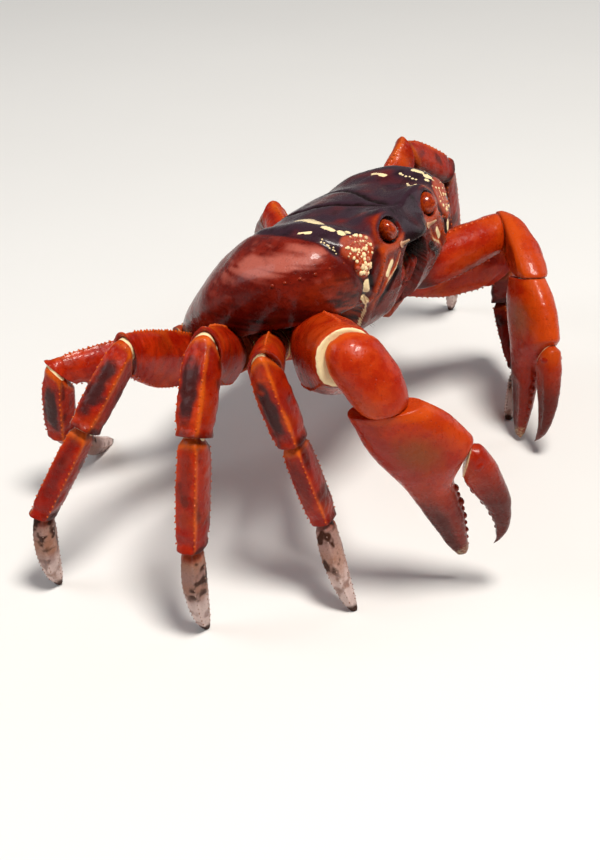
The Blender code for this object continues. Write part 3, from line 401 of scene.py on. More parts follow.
class Nodes:
    """Short names for the nodes of one material."""

    def __init__(self, material):
        self.tree = material.node_tree
        self.shader = self.tree.nodes["Principled BSDF"]
        self.place = self.tree.nodes.new("ShaderNodeTexCoord").outputs["Object"]

    def link(self, source, target):
        self.tree.links.new(source, target)

    def add(self, kind, output, inputs, **settings):
        """A node with its settings and inputs. Gives one of its outputs."""
        node = self.tree.nodes.new("ShaderNode" + kind)
        for name, value in settings.items():
            setattr(node, name, value)
        for name, value in inputs.items():
            if isinstance(value, bpy.types.NodeSocket):
                self.link(value, node.inputs[name])
            elif isinstance(value, tuple):
                node.inputs[name].default_value = (*value, 1)
            else:
                node.inputs[name].default_value = value
        return node.outputs[output]

    def noise(self, scale, detail, rough=0.6):
        return self.add("TexNoise", "Fac", {"Vector": self.place, "Scale": scale, "Detail": detail,
                                            "Roughness": rough})

    def cells(self, scale):
        return self.add("TexVoronoi", "Distance", {"Vector": self.place, "Scale": scale})

    def mask(self, name):
        return self.add("Attribute", "Fac", {}, attribute_name=name)

    def math(self, kind, first, second):
        return self.add("Math", 0, {0: first, 1: second}, operation=kind)

    def plus(self, first, second):
        return self.math("ADD", first, second)

    def times(self, first, second):
        return self.math("MULTIPLY", first, second)

    def span(self, value, low, high, start=0.0, stop=1.0, kind="SMOOTHSTEP"):
        return self.add("MapRange", "Result", {"Value": value, "From Min": low, "From Max": high,
                                               "To Min": start, "To Max": stop}, interpolation_type=kind)

    def mix(self, share, first, second):
        return self.add("Mix", 2, {0: share, 6: first, 7: second}, data_type="RGBA")

    def bump(self, height, distance, strength, **under):
        return self.add("Bump", "Normal", {"Height": height, "Distance": distance, "Strength": strength,
                                           **under})

    def edged(self, name, noise, ragged, low):
        """A mask with its edge broken up by noise."""
        shaken = self.plus(self.mask(name), self.times(self.math("SUBTRACT", noise, 0.5), ragged))
        return self.span(shaken, low, 1 - low)


def cuticle(name, base, base_two, dark, warm, grey, painted_sheen_and_tint, pale, roughness, coat, pores, relief, speckle):
    """Crab shell: two mottled base colours under five masks, fine specks, pits and uneven gloss."""
    material = new_material(name, roughness, coat, 0.1, 0.14)
    nodes = Nodes(material)
    broad, middle, fine = nodes.noise(70, 3), nodes.noise(330, 5, 0.65), nodes.noise(1500, 4, 0.7)
    mixed = nodes.times(nodes.plus(middle, fine), 0.5)
    mottle = nodes.plus(nodes.times(broad, 0.55), nodes.times(middle, 0.45))
    colour = nodes.mix(nodes.span(mottle, 0.42, 0.6), base, base_two)
    # The fifth mask lays a painted highlight on the shell, the claws' own olive tint and the feet's own pale
    # wear.
    for mask, noise, ragged, low, tint in (
            ("warm", mixed, 0.5, 0.1, warm), ("grey", mixed, 0.45, 0.05, grey),
            ("painted_sheen_and_tint", middle, 0.4, 0.1, painted_sheen_and_tint), ("dark", mixed, 0.5, 0.1, dark)):
        colour = nodes.mix(nodes.edged(mask, noise, ragged, low), colour, tint)
    pits = nodes.span(nodes.cells(pores), 0.0, 0.28)
    colour = nodes.mix(nodes.times(nodes.span(fine, 0.56, 0.66), speckle * 0.5), colour, dark)
    colour = nodes.mix(nodes.times(nodes.math("SUBTRACT", 1.0, pits), speckle * 0.6), colour, dark)
    colour = nodes.mix(nodes.edged("pale", fine, 0.3, 0.4), colour, pale)
    nodes.link(colour, nodes.shader.inputs["Base Color"])
    nodes.link(nodes.span(middle, 0.3, 0.7, roughness - 0.07, roughness + 0.14, "LINEAR"),
               nodes.shader.inputs["Roughness"])
    low = nodes.bump(middle, relief * 2.2, 0.6)
    high = nodes.bump(nodes.plus(pits, nodes.times(fine, 0.7)), relief, 0.7, Normal=low)
    nodes.link(high, nodes.shader.inputs["Normal"])
    return material


def plain_material(name, first, second, roughness, scale, relief, coat=0.0):
    """A two-coloured mottled surface for skin, hairs and eyes."""
    material = new_material(name, roughness, coat, 0.06, 0.2)
    nodes = Nodes(material)
    noise = nodes.noise(scale, 5, 0.6)
    colour = nodes.mix(nodes.span(noise, 0.38, 0.62), first, second)
    colour = nodes.mix(nodes.edged("dark", noise, 0.3, 0.3), colour, (0.012, 0.003, 0.002))
    colour = nodes.mix(nodes.edged("pale", noise, 0.3, 0.3), colour, (0.85, 0.68, 0.42))
    nodes.link(colour, nodes.shader.inputs["Base Color"])
    nodes.link(nodes.bump(noise, relief, 0.7), nodes.shader.inputs["Normal"])
    nodes.link(nodes.span(noise, 0.3, 0.7, roughness * 0.8, min(1.0, roughness * 1.25), "LINEAR"),
               nodes.shader.inputs["Roughness"])
    return material


CREAM = (0.93, 0.74, 0.42)
# Fifth colours: the shell's pink one is a painted highlight on its swellings, the claw's is its own olive
# tint, the foot's its own pale wear.
SHELL = cuticle(
    "shell", (0.11, 0.004, 0.001), (0.20, 0.010, 0.002), (0.008, 0.001, 0.001), (0.46, 0.050, 0.004),
    (0.034, 0.013, 0.022), (0.42, 0.10, 0.07), CREAM, 0.26, 0.16, 900, 0.00013, 0.45)
LIMB = cuticle(
    "limb", (0.31, 0.008, 0.001), (0.46, 0.024, 0.002), (0.055, 0.003, 0.001), (0.62, 0.095, 0.006),
    (0.050, 0.012, 0.012), (0.50, 0.14, 0.09), CREAM, 0.3, 0.12, 1000, 0.0002, 0.5)
CLAW = cuticle(
    "claw", (0.36, 0.013, 0.001), (0.48, 0.032, 0.002), (0.075, 0.004, 0.001), (0.56, 0.060, 0.003),
    (0.20, 0.07, 0.045), (0.30, 0.050, 0.002), CREAM, 0.26, 0.16, 800, 0.00015, 0.4)
FOOT = cuticle(
    "foot", (0.34, 0.15, 0.09), (0.46, 0.27, 0.21), (0.045, 0.013, 0.006), (0.32, 0.035, 0.004),
    (0.30, 0.17, 0.15), (0.66, 0.50, 0.46), (0.74, 0.58, 0.44), 0.45, 0.05, 1300, 0.0002, 0.5)
UNDER = cuticle(
    "underside", (0.30, 0.035, 0.008), (0.42, 0.08, 0.022), (0.05, 0.006, 0.003), (0.40, 0.03, 0.004),
    (0.30, 0.15, 0.12), (0.50, 0.20, 0.10), (0.66, 0.40, 0.17), 0.45, 0.08, 1000, 0.0002, 0.4)
SKIN = plain_material("joint_skin", (0.52, 0.22, 0.07), (0.34, 0.10, 0.025), 0.55, 900, 0.0003)
MOUTH = plain_material("mouthpart", (0.34, 0.018, 0.002), (0.19, 0.007, 0.001), 0.4, 500, 0.0003, 0.1)
HAIR = plain_material("bristle", (0.05, 0.025, 0.012), (0.014, 0.008, 0.005), 0.6, 900, 0.0001)
EYE = plain_material("eye", (0.40, 0.042, 0.002), (0.20, 0.012, 0.001), 0.2, 1400, 0.00003, 0.5)


# Limbs
def frame_axes(start, end, toward):
    along = unit(end - start)
    upper = unit(toward - along * (toward @ along))
    return along, upper, np.cross(along, upper)


def joint_planes(points):
    planes = []
    for before, here, after in zip(points, points[1:], points[2:]):
        planes.append((here, unit(unit(here - before) + unit(after - here))))
    return planes


class Segment:
    """A limb segment: an axis, a table of sizes, and the planes that part it from its neighbours."""
    neck, lip = 0.24, 0.05

    def __init__(self, start, end, toward, rows, sizes, planes, keels=(), edges=(1.0, 1.0), bow=0.0):
        self.start, self.end = np.asarray(start, float), np.asarray(end, float)
        self.along, self.upper, self.across = frame_axes(self.start, self.end, np.asarray(toward, float))
        self.length = np.linalg.norm(self.end - self.start)
        self.rows, self.sizes, self.planes = rows, sizes, planes
        self.keels, self.edges, self.bow = keels, edges, bow

    def offset(self, share, angle):
        """The way from the axis to the surface."""
        rise, fall, thick = (rows_at(self.rows, share, column + 1) * size
                             for column, size in enumerate(self.sizes))
        cosine, sine = np.cos(angle), np.sin(angle)
        edge = np.where(cosine > 0, self.edges[0], self.edges[1])
        high = power(cosine, edge) * np.where(cosine > 0, rise, fall)
        wide = power(sine, edge) * thick
        grow = 0.0
        for place, width, height in self.keels:
            grow = grow + height * peak(wrapped(angle - place), width)
        reach = np.hypot(high, wide) + 1e-9
        fade = ramp(-0.02, 0.12, share) * ramp(1.04, 0.9, share)
        stretch = 1 + grow * fade / reach
        return (high * stretch)[..., None] * self.upper + (wide * stretch)[..., None] * self.across

    def middle(self, share):
        bow = self.bow * 4 * share * (1 - share)
        return self.start + share[..., None] * self.length * self.along + bow[..., None] * self.upper

    def ends(self, angle):
        """Shares at which the surface meets the two joint planes."""
        found = []
        for plane, level, sign in ((self.planes[0], 0.0, 1), (self.planes[1], 1.0, -1)):
            share = np.full(angle.shape, level)
            if plane is not None:
                point, normal = plane
                for _ in range(3):
                    gap = (self.middle(share) + self.offset(share, angle) - point) @ normal - sign * GAP / 2
                    share = share - gap / (self.along @ normal) / self.length
            found.append(share)
        return found

    def grid(self, rows, columns, relief):
        """Rings whose ends lie in the joint planes, and where each point is on the segment."""
        angle = full_turn(columns)[None]
        first, last = self.ends(angle)
        level = np.linspace(0, 1, rows)[:, None]
        level = level - 0.07 * np.sin(2 * math.pi * level)
        share = level + first * (1 - level) ** 2.5 + (last - 1) * level ** 2.5
        share = np.clip(share, first, last)
        angle = np.broadcast_to(angle, share.shape)
        offset = self.offset(share, angle)
        near, far = (share - first) * self.length, (last - share) * self.length
        scale = np.ones(share.shape)
        if self.planes[0] is not None:
            scale = scale - self.neck * (1 - ramp(0.0, 2.6, near))
        if self.planes[1] is not None:
            scale = scale + self.lip * peak(far, 1.1) - 0.05 * peak(far - 2.6, 1.2)
        grid = self.middle(share) + offset * scale[..., None]
        grid = grid + unit(offset) * relief(share, angle, grid)[..., None]
        return self.cap_rings(grid), share, angle, near, far

    def blob(self, rows, columns, relief):
        """A closed form whose parts beyond the joint planes are drawn back onto them."""
        low, high = self.rows[0][0], self.rows[-1][0]
        polar = np.linspace(0.02, math.pi - 0.02, rows)[:, None]
        share = low + (high - low) * (0.6 * (1 - np.cos(polar)) / 2 + 0.4 * polar / math.pi)
        angle = full_turn(columns)[None]
        share, angle = np.broadcast_arrays(share, angle)
        offset = self.offset(share, angle)
        grid = self.middle(share) + offset
        centre = self.middle(np.clip(share, 0.3, 0.7))
        ends = []
        for (point, normal), sign in zip(self.planes, (1, -1)):
            inside = ((grid - point) @ normal) * sign
            ends.append(np.maximum(inside, 0))
            grid = grid - unit(offset) * (0.55 * peak(ends[-1], 0.9))[..., None]
        grid = grid + unit(offset) * relief(share, angle, grid)[..., None]
        for (point, normal), sign in zip(self.planes, (1, -1)):
            inside = ((grid - point) @ normal) * sign - GAP / 2
            deep = ((centre - point) @ normal) * sign - GAP / 2
            step = np.where(inside < 0, inside / np.minimum(inside - deep, -1e-6), 0)
            grid = grid + (centre - grid) * step[..., None]
        return grid, share, angle, ends[0], ends[1]

    def cap_rings(self, grid):
        """Close the near end flat and hollow the far end like a socket."""
        if self.planes[1] is not None:
            centre = grid[-1].mean(0)
            inner = centre + (grid[-1] - centre) * 0.86
            deep = centre + (grid[-1] - centre) * 0.78 - self.along * 1.0
            grid = np.concatenate([grid, inner[None], deep[None]])
        return grid

    def surface(self, share, angle):
        """Points on the surface and the way out of it there."""
        share, angle = np.broadcast_arrays(np.asarray(share, float), np.asarray(angle, float))
        offset = self.offset(share, angle)
        return self.middle(share) + offset, unit(offset)


def add_segment(form, segment, paint, rows, columns, relief):
    """Skin a segment into a form. The paint function gives its masks."""
    grid, share, angle, near, far = segment.grid(rows, columns, relief)
    masks = paint(share, angle, grid[:share.shape[0]], near, far)
    extra = grid.shape[0] - share.shape[0]
    if extra:
        masks = {name: np.concatenate([value, np.repeat(value[-1:], extra, 0)])
                 for name, value in masks.items()}
        masks["pale"][-extra:] = 0.1
    form.add_grid(grid, masks)


def add_blob(form, segment, paint, rows, columns, relief):
    grid, share, angle, near, far = segment.blob(rows, columns, relief)
    form.add_grid(grid, paint(share, angle, grid, near, far))


def add_teeth(form, segment, angle, span, radius, height, masks, lean=0.3):
    """Curved teeth in a row along a segment, leaning toward its far end."""
    shares = np.linspace(*span)
    shares = shares + (random.random(len(shares)) - 0.5) * 0.012
    places, outs = segment.surface(shares, np.broadcast_to(angle, shares.shape))
    outs = unit(outs + lean * segment.along)
    swing = 0.8 + 0.4 * random.random(len(shares))
    sizes = np.stack([radius * swing, radius * swing, height * swing], -1)
    form.add_copies(SPINE, places, axes_from(outs, segment.along), sizes, masks)


def add_skin(form, place, radius, pale):
    """The ball of skin inside a joint, in the piece's second material."""
    form.add_copies(unit_ball(16, 24), [place], [np.eye(3)], [np.full(3, radius)], {"pale": pale}, 1)


def ends_paint(near, far):
    """Pale skin at the near neck and a thin pale rim round the far socket."""
    return np.clip(0.75 * peak(near, 0.5) + 0.4 * peak(far, 0.45), 0, 1)


def root_point(side, name):
    across, forward, up = ROOTS[name]
    return to_world((SIDES[side] * across, forward, up))


def root_start(side, name):
    across, forward, up = ROOTS[name]
    drop = 6.0 if name == "claw" else 0.0
    return to_world((SIDES[side] * across * 0.5, forward * 0.8, up - drop))


def make_base(name, side, limb, following, half):
    """The coxa, basis and ischium that carry a limb: three short rings of shell with skin between."""
    start, root = root_start(side, limb), root_point(side, limb)
    plane = joint_planes([start, root, following])[0]
    rows = ((0.0, 0.9, 0.9, 0.8), (0.5, 1.0, 1.0, 0.85), (0.8, 0.95, 0.95, 0.8), (1.0, 0.85, 0.85, 0.7),
            (1.15, 0.7, 0.7, 0.6))
    segment = Segment(start, root, (0, 0, 1), rows, (half, half, half), (None, plane))

    def relief(share, angle, grid):
        return 0.15 * lumps(grid, 1.3, 3) - 0.8 * peak(share - 0.62, 0.02) - 0.6 * peak(share - 0.82, 0.018)

    def paint(share, angle, grid, near, far):
        seams = peak(share - 0.62, 0.03) + peak(share - 0.82, 0.025)
        return {"pale": np.clip(seams + ends_paint(near * 0 + 9, far) + 0.4 * lumps(grid, 4, 5), 0, 1),
                "warm": 0.5 + 0.4 * lumps(grid, 5, 4)}

    form = Form()
    add_segment(form, segment, paint, 60, 48, relief)
    form.make([UNDER], name)


def make_leg(side, leg):
    root = root_point(side, leg)
    points = [root_start(side, leg), root] + [np.array(place, float) for place in STANCE[(side, leg)]]
    planes = joint_planes(points)
    outward = (SIDES[side], 0, 0)
    prefix = leg + "_" + side
    seed = LEGS.index(leg) * 2 + (side == "left")
    sizes = dict(zip(("merus", "carpus", "propodus", "dactyl"), LEG_SIZES[leg]))
    make_base(prefix + "_base", side, leg, points[2], sizes["merus"][0])
    keel = math.radians(40)
    lower = math.pi - 0.42

    merus = Segment(points[1], points[2], (0, 0, 1), MERUS_ROWS, sizes["merus"], planes[:2],
                    ((0, 0.16, 0.45), (lower, 0.16, 0.3), (-lower, 0.16, 0.3)), (1.15, 0.95))

    def merus_relief(share, angle, grid):
        wrinkle = np.sin((share * merus.length + 0.9 * lumps(grid, 6, seed)) * 3.4)
        return (0.06 * wrinkle * ramp(-0.2, 0.5, np.cos(angle))
                + rough(grid, 0.16, 2.2, 0.07, 0.9, seed + 3))

    def merus_paint(share, angle, grid, near, far):
        upper = peak(wrapped(angle), 0.35)
        under = ramp(0.4, 1.0, -np.cos(angle))
        return {"pale": ends_paint(near, far), "warm": 0.15 + 0.4 * upper + 0.35 * lumps(grid, 7, seed),
                # Painted shade: darker next to the body, under the shell's edge, and on the underside of the
                # near half.
                "dark": 0.7 * peak(near, 8) + 0.35 * under * ramp(0.8, 0.2, share)
                        + 0.35 * ramp(0.1, 0.8, lumps(grid, 4.5, seed + 20))}

    form = Form()
    add_segment(form, merus, merus_paint, 96, 72, merus_relief)
    add_teeth(form, merus, 0.0, (0.16, 0.93, 22), 0.42, 0.55, {"warm": 0.7})
    for angle in (lower, -lower):
        add_teeth(form, merus, angle, (0.3, 0.92, 15), 0.34, 0.4, {"warm": 0.6})
    form.make([LIMB], prefix + "_merus")

    def ridged_relief(share, angle, grid):
        return rough(grid, 0.15, 1.9, 0.09, 0.8, seed + 7)

    def band_paint(strength, start, stop, crescent):
        def paint(share, angle, grid, near, far):
            shaken = rough(grid, 0.12, 3.5, 0.05, 1.2, seed + 5)
            turn = np.abs(wrapped(angle))
            band = ramp(0.8, 0.1, turn + shaken * 2) * ramp(start - 0.1, start + 0.2, share + shaken)
            band = band * ramp(stop + 0.06, stop - 0.3, share + shaken) * strength
            ridge = peak(turn - keel - 0.1, 0.16)
            arc = crescent * peak(near, 1.15, 4) * ramp(-0.1, 0.7, np.cos(angle) + shaken)
            return {"pale": ends_paint(near, far) * (0.3 + shaken * 2) + arc, "grey": band,
                    "warm": 0.1 + 0.5 * ridge + 0.3 * lumps(grid, 6, seed + 1) + 0.6 * peak(near - 2, 1.5),
                    # Painted shade: darker on the sides and the underside, away from the upper face.
                    "dark": 0.3 * band + 0.35 * ramp(0.6, 1.1, turn) + 0.25 * ramp(0.2, 1.0, -np.cos(angle))
                            + 0.35 * ramp(0.1, 0.7, lumps(grid, 4, seed + 21)) + 0.35 * ramp(3, 0, far)}
        return paint

    carpus = Segment(points[2], points[3], outward, CARPUS_ROWS, sizes["carpus"], planes[1:3],
                     ((keel, 0.2, 0.6), (-keel, 0.2, 0.6), (math.pi - 0.6, 0.2, 0.3),
                      (math.pi + 0.6, 0.2, 0.3)), (0.78, 0.78))
    form = Form()
    add_segment(form, carpus, band_paint(1.0, 0.1, 1.0, 1.0), 70, 72, ridged_relief)
    for angle in (keel, -keel):
        add_teeth(form, carpus, angle, (0.12, 0.95, 10), 0.3, 0.35, {"warm": 0.9})
    add_skin(form, points[2], sizes["carpus"][2] * 0.7, 0.6)
    form.make([LIMB, SKIN], prefix + "_carpus")

    corners = (keel, -keel, math.pi - keel, math.pi + keel)
    propodus = Segment(points[3], points[4], outward, PROPODUS_ROWS, sizes["propodus"], planes[2:4],
                       [(corner, 0.22, 0.5) for corner in corners], (0.78, 0.78))
    form = Form()
    add_segment(form, propodus, band_paint(0.5, 0.0, 0.9, 0.3), 84, 72, ridged_relief)
    for angle in corners:
        add_teeth(form, propodus, angle, (0.1, 0.94, 14), 0.27, 0.42, {"warm": 0.8, "dark": 0.2})
    add_skin(form, points[3], sizes["propodus"][2] * 0.75, 0.6)
    form.make([LIMB, SKIN], prefix + "_propodus")

    turns = [math.radians(turn) for turn in (30, 90, 150, 210, 270, 330)]
    dactyl = Segment(points[4], points[5], outward, DACTYL_ROWS, sizes["dactyl"], (planes[3], None),
                     [(turn, 0.2, 0.3) for turn in turns], (0.9, 0.9), DACTYL_BOW)

    def dactyl_relief(share, angle, grid):
        return rough(grid, 0.1, 1.5, 0.06, 0.7, seed + 9)

    def dactyl_paint(share, angle, grid, near, far):
        spots = ramp(-0.1, 0.7, lumps(grid, 2.2, seed + 11) + 0.4 * lumps(grid, 1.0, seed + 13))
        ridge = np.cos(3 * angle + math.pi / 2) ** 4
        upper = ramp(0.62, 0.3, share + 0.12 * lumps(grid, 4, seed + 14))
        return {"painted_sheen_and_tint": 0.8 * ramp(0.35, 0.7, share) * (1 - 0.6 * spots) + 0.25 * ridge,
                "dark": 0.95 * ramp(0.88, 0.97, share) + spots * (0.35 + 0.5 * upper) + 0.2 * upper,
                "grey": 0.5 + 0.6 * lumps(grid, 6, seed + 12), "warm": ramp(0.16, 0.0, share)}

    form = Form()
    add_segment(form, dactyl, dactyl_paint, 90, 60, dactyl_relief)
    for turn in turns:
        add_teeth(form, dactyl, turn, (0.12, 0.86, 13), 0.2, 0.42, {"dark": 0.3, "painted_sheen_and_tint": 0.3}, lean=1.0)
    add_skin(form, points[4], sizes["dactyl"][2] * 0.72, 0.5)
    clip_floor(form)
    form.make([FOOT, SKIN], prefix + "_dactyl")


def clip_floor(form):
    """Keep a foot's tip on the floor."""
    for points in form.points:
        points[:, 2] = np.maximum(points[:, 2], 0.0)


# Claws
def claw_frame(side):
    _, wrist, along, toward, size = CLAWS[side]
    axes = frame_axes(np.zeros(3), unit(along), np.array(toward, float))
    return np.array(wrist, float), np.stack(axes, -1) * size


def section_grid(along, low, high, thick, angle, squareness=0.9):
    """Points of a flat-lying form from its outline, in its own plane."""
    middle, half = (low + high) / 2, (high - low) / 2
    return np.stack([along + 0 * angle, middle + half * power(np.cos(angle), squareness),
                     thick * power(np.sin(angle), squareness)], -1)


def make_claw(side):
    elbow, wrist = (np.array(place, float) for place in CLAWS[side][:2])
    size = CLAWS[side][4]
    root = root_point(side, "claw")
    first = joint_planes([root_start(side, "claw"), root, elbow])[0]
    lean = unit(elbow - root) * ELBOW_SHARE + unit(wrist - elbow) * (1 - ELBOW_SHARE)
    planes = [first, (elbow, unit(lean)), (wrist, unit(WRIST_NORMAL[side]))]
    prefix = "claw_" + side
    seed = 40 + (side == "left")
    make_base(prefix + "_base", side, "claw", elbow, CLAW_BASE_HALF * size)

    def relief(share, angle, grid):
        return rough(grid, 0.16, 3.6, 0.07, 1.1, seed)

    lower = (math.pi - 0.7, math.pi + 0.7)
    merus = Segment(root, elbow, (0, 0, 1), CLAW_MERUS_ROWS, CLAW_MERUS_SIZE[side], planes[:2],
                    [(place, 0.2, 0.4) for place in (0.0, *lower)], (0.95, 0.8))

    def merus_paint(share, angle, grid, near, far):
        under = ramp(0.0, 1.0, -np.cos(angle))
        rim = ARC[side] * peak(far, 0.75, 4) * (0.85 + 0.4 * lumps(grid, 4, seed + 9))
        return {"pale": rim, "warm": 0.25 + 0.35 * lumps(grid, 8, seed) + 0.25 * peak(far - 2, 1.5),
                # Painted shade: darker on the underside and next to the body.
                "dark": 0.5 * under + 0.6 * peak(near, 6) + 0.25 * lumps(grid, 5, seed + 2)}

    form = Form()
    add_blob(form, merus, merus_paint, 96, 88, relief)
    add_teeth(form, merus, 0.0, (0.2, 0.9, 13), 0.6, 0.6, {"warm": 0.8})
    for angle in lower:
        add_teeth(form, merus, angle, (0.25, 0.9, 11), 0.6, 0.7, {"warm": 0.5, "dark": 0.3})
    form.make([CLAW], prefix + "_merus")

    carpus = Segment(elbow, wrist, CARPUS_BULGE, CLAW_CARPUS_ROWS, CLAW_CARPUS_SIZE[side], planes[1:])

    def carpus_paint(share, angle, grid, near, far):
        patchy = np.clip(0.7 + 0.7 * lumps(grid, 5, seed + 8), 0, 1)
        return {"pale": ARC[side] * peak(near, 0.8, 4) * patchy + 0.3 * peak(far, 0.4) * patchy,
                "warm": 0.3 + 0.4 * lumps(grid, 9, seed + 3) + 0.7 * peak(near - 1.6, 1.5),
                "dark": 0.2 * lumps(grid, 4, seed + 4) + 0.8 * peak(far, 0.35) * (1 - patchy)}

    form = Form()
    add_blob(form, carpus, carpus_paint, 96, 96, relief)
    add_skin(form, elbow, 5.5 * size, 0.5)
    form.make([CLAW, SKIN], prefix + "_carpus")
    make_palm(side, planes[2], seed)
    make_finger(side, seed)


def add_blunt_teeth(form, side, places, heights, radii, masks):
    """Blunt teeth along the biting edge of a finger."""
    origin, axes = claw_frame(side)
    for place, height, radius in zip(places, heights, radii):
        centre = np.array((place, height, 0.0)) @ axes.T + origin
        form.add_copies(unit_ball(8, 12), [centre], [unit(axes.T).T],
                        [TOOTH_SIZE * radius * CLAWS[side][4]], masks)


def finger_groove(angle):
    """The groove along each face of a finger."""
    return peak(np.abs(np.sin(angle)) - 1, 0.05)


def make_palm(side, plane, seed):
    origin, axes = claw_frame(side)
    angle = full_turn(96)[None]
    start, stop = PALM_ROWS[0, 0], PALM_ROWS[-1, 0]
    place = start + (stop - start) * np.linspace(0.003, 1, 180)[:, None]
    high, low, thick = (rows_at(PALM_ROWS, place, column) for column in (1, 2, 3))
    local = section_grid(place, low, high, thick, angle)
    local[..., 2] *= 1 + 0.06 * (ramp(34, 24, place) * ramp(2, 9, place) * np.sin(angle) ** 2)
    outward = unit(local - np.stack([place, (low + high) / 2, 0 * place], -1))
    relief = rough(local, 0.16, 3.4, 0.07, 1.1, seed + 5)
    groove = finger_groove(angle) * ramp(36, 44, place) * ramp(61, 52, place)
    local = local + outward * (relief - 0.5 * groove)[..., None]
    grid = local @ axes.T + origin
    point, normal = plane
    behind = (grid - point) @ normal - GAP / 2
    centre = np.array((18.0, -1.0, 0.0)) @ axes.T + origin
    deep = (centre - point) @ normal - GAP / 2
    step = np.where(behind < 0, behind / (behind - deep), 0)
    grid = grid + (centre - grid) * step[..., None]
    height = (local[..., 1] - low) / np.maximum(high - low, 1)
    along = local[..., 0]
    tip = ramp(50, 60, along)
    form = Form()
    form.add_grid(grid, {
        "pale": 0.45 * tip,
        "warm": 0.5 * ramp(0.62, 0.95, height) * ramp(34, 20, along) + 0.3 * lumps(local, 8, seed + 7)
        + 0.5 * peak(np.maximum(behind, 0) - 1.5, 1.5),
        "painted_sheen_and_tint": 0.8 * peak(along - 15, 9) * peak(height - 0.55, 0.3),
        "dark": 0.3 * ramp(0.75, 0.35, height) + 0.55 * ramp(22, 46, along),
        "grey": 0.3 * tip})
    places = np.linspace(37.5, 59.5, len(PALM_TEETH))
    add_blunt_teeth(form, side, places, rows_at(PALM_ROWS, places, 1) - TOOTH_SUNK, PALM_TEETH,
                    {"dark": 0.5, "pale": 0.36})
    form.make([CLAW], "claw_" + side + "_palm")


def make_finger(side, seed):
    origin, axes = claw_frame(side)
    size = CLAWS[side][4]
    point, normal = np.array(FINGER_CUT[0]), unit(FINGER_CUT[1])
    angle = full_turn(80)[None]

    def outline(place):
        middle, half, thick = (rows_at(FINGER_ROWS, place, column) for column in (1, 2, 3))
        return section_grid(place, middle - half, middle + half, thick, angle), middle

    first = np.full(angle.shape, 28.0)
    for _ in range(6):
        here, _ = outline(first)
        first = first - ((here[..., :2] - point) @ normal - GAP) / normal[0]
    place = first + (FINGER_ROWS[-1, 0] - first) * np.linspace(0, 1, 130)[:, None]
    local, middle = outline(place)
    near = place - first
    centre = np.stack([place, middle, 0 * place], -1)
    local = centre + (local - centre) * (1 - 0.2 * (1 - ramp(0, 2.4, near)))[..., None]
    outward = unit(local - centre)
    groove = finger_groove(angle) * ramp(33, 40, place) * ramp(61, 54, place)
    relief = rough(local, 0.14, 3.0, 0.07, 1.0, seed + 9)
    local = local + outward * (relief - 0.4 * groove)[..., None]
    grid = local @ axes.T + origin
    form = Form()
    form.add_grid(grid, {
        "pale": 0.6 * peak(near, 0.5), "dark": 0.3 + 0.45 * ramp(30, 50, place),
        "warm": ramp(42, 28, place) * (0.5 + 0.5 * lumps(local, 6, seed + 11))})
    places = np.linspace(38.5, 61.0, len(FINGER_TEETH))
    middle, half = (rows_at(FINGER_ROWS, places, column) for column in (1, 2))
    add_blunt_teeth(form, side, places, middle - half + TOOTH_SUNK, FINGER_TEETH, {"dark": 0.6, "pale": 0.4})
    knob = np.array((31.5, 9.6, 0.0)) @ axes.T + origin
    form.add_copies(unit_ball(12, 18), [knob], [unit(axes.T).T], [np.array((2.6, 3.2, 4.4)) * size],
                    {"dark": 0.3})
    form.make([CLAW], "claw_" + side + "_finger")


# Body
def shell_grid(sections, rows, columns, squareness=0.86):
    """Body places of a closed shell, and how high round the shell each one is."""
    polar = np.linspace(0.012, math.pi - 0.012, rows)[:, None]
    turn = full_turn(columns)[None]
    front, rear = sections[0, 0], sections[-1, 0]
    forward = front + (rear - front) * (1 - np.cos(polar)) / 2
    forward = forward + (front + (rear - front) * polar / math.pi - forward) * 0.35
    half, line, rise, fall = (rows_at(sections, forward, column) for column in (1, 2, 3, 4))
    lift = power(np.sin(turn), squareness)
    up = line + lift * np.where(lift > 0, rise, fall)
    side = half * power(np.cos(turn), squareness)
    return np.stack([side, forward + 0 * turn, up], -1), lift + 0 * forward


def sunk_depth(places, lift):
    """How far the back is sunk. It stays high over the eyes and on the two swellings."""
    side, forward = np.abs(places[..., 0]), places[..., 1]
    brow = peak(side - EYE_PLACE[0], 11) * peak(forward - 39, 9)
    share = ramp(37, 20, side) * ramp(0, 0.35, lift) * (1 - 0.95 * brow)
    return rows_at(SINK, forward, 1) * share


def wall_foot(side, forward):
    shallow = rows_at(CARAPACE, forward, 2) - 12.0 * rows_at(WALL, forward, 1)
    deep = ramp(32.0, 19.0, np.abs(side)) * ramp(4.0, 18.0, forward)
    return shallow + (-27.0 - shallow) * deep


def body_turn(yaw, lean=0.0):
    """Columns are a turned shape's axes, in body terms of side, backward and up."""
    return np.array(Matrix.Rotation(yaw, 3, "Z") @ Matrix.Rotation(lean, 3, "X"))


def press_back(places, centre, turn, radii, squareness=1.0):
    """Move places inside an ellipsoid to its rear wall. Gives the new places and how deep each went."""
    local = ((places - centre) * FLIP) @ turn / radii
    cross = np.abs(local[..., 0]) ** (2 / squareness) + np.abs(local[..., 2]) ** (2 / squareness)
    inside = cross + np.abs(local[..., 1]) ** (2 / squareness) < 1
    wall = np.clip(1 - cross, 0, 1) ** (squareness / 2)
    moved = np.where(inside, np.maximum(local[..., 1], wall), local[..., 1])
    depth = (moved - local[..., 1]) * radii[1]
    local = np.stack([local[..., 0], moved, local[..., 2]], -1) * radii
    return np.where(inside[..., None], local @ turn.T * FLIP + centre, places), depth


def mirrored(places):
    return np.concatenate([np.abs(places[..., :1]), places[..., 1:]], -1)


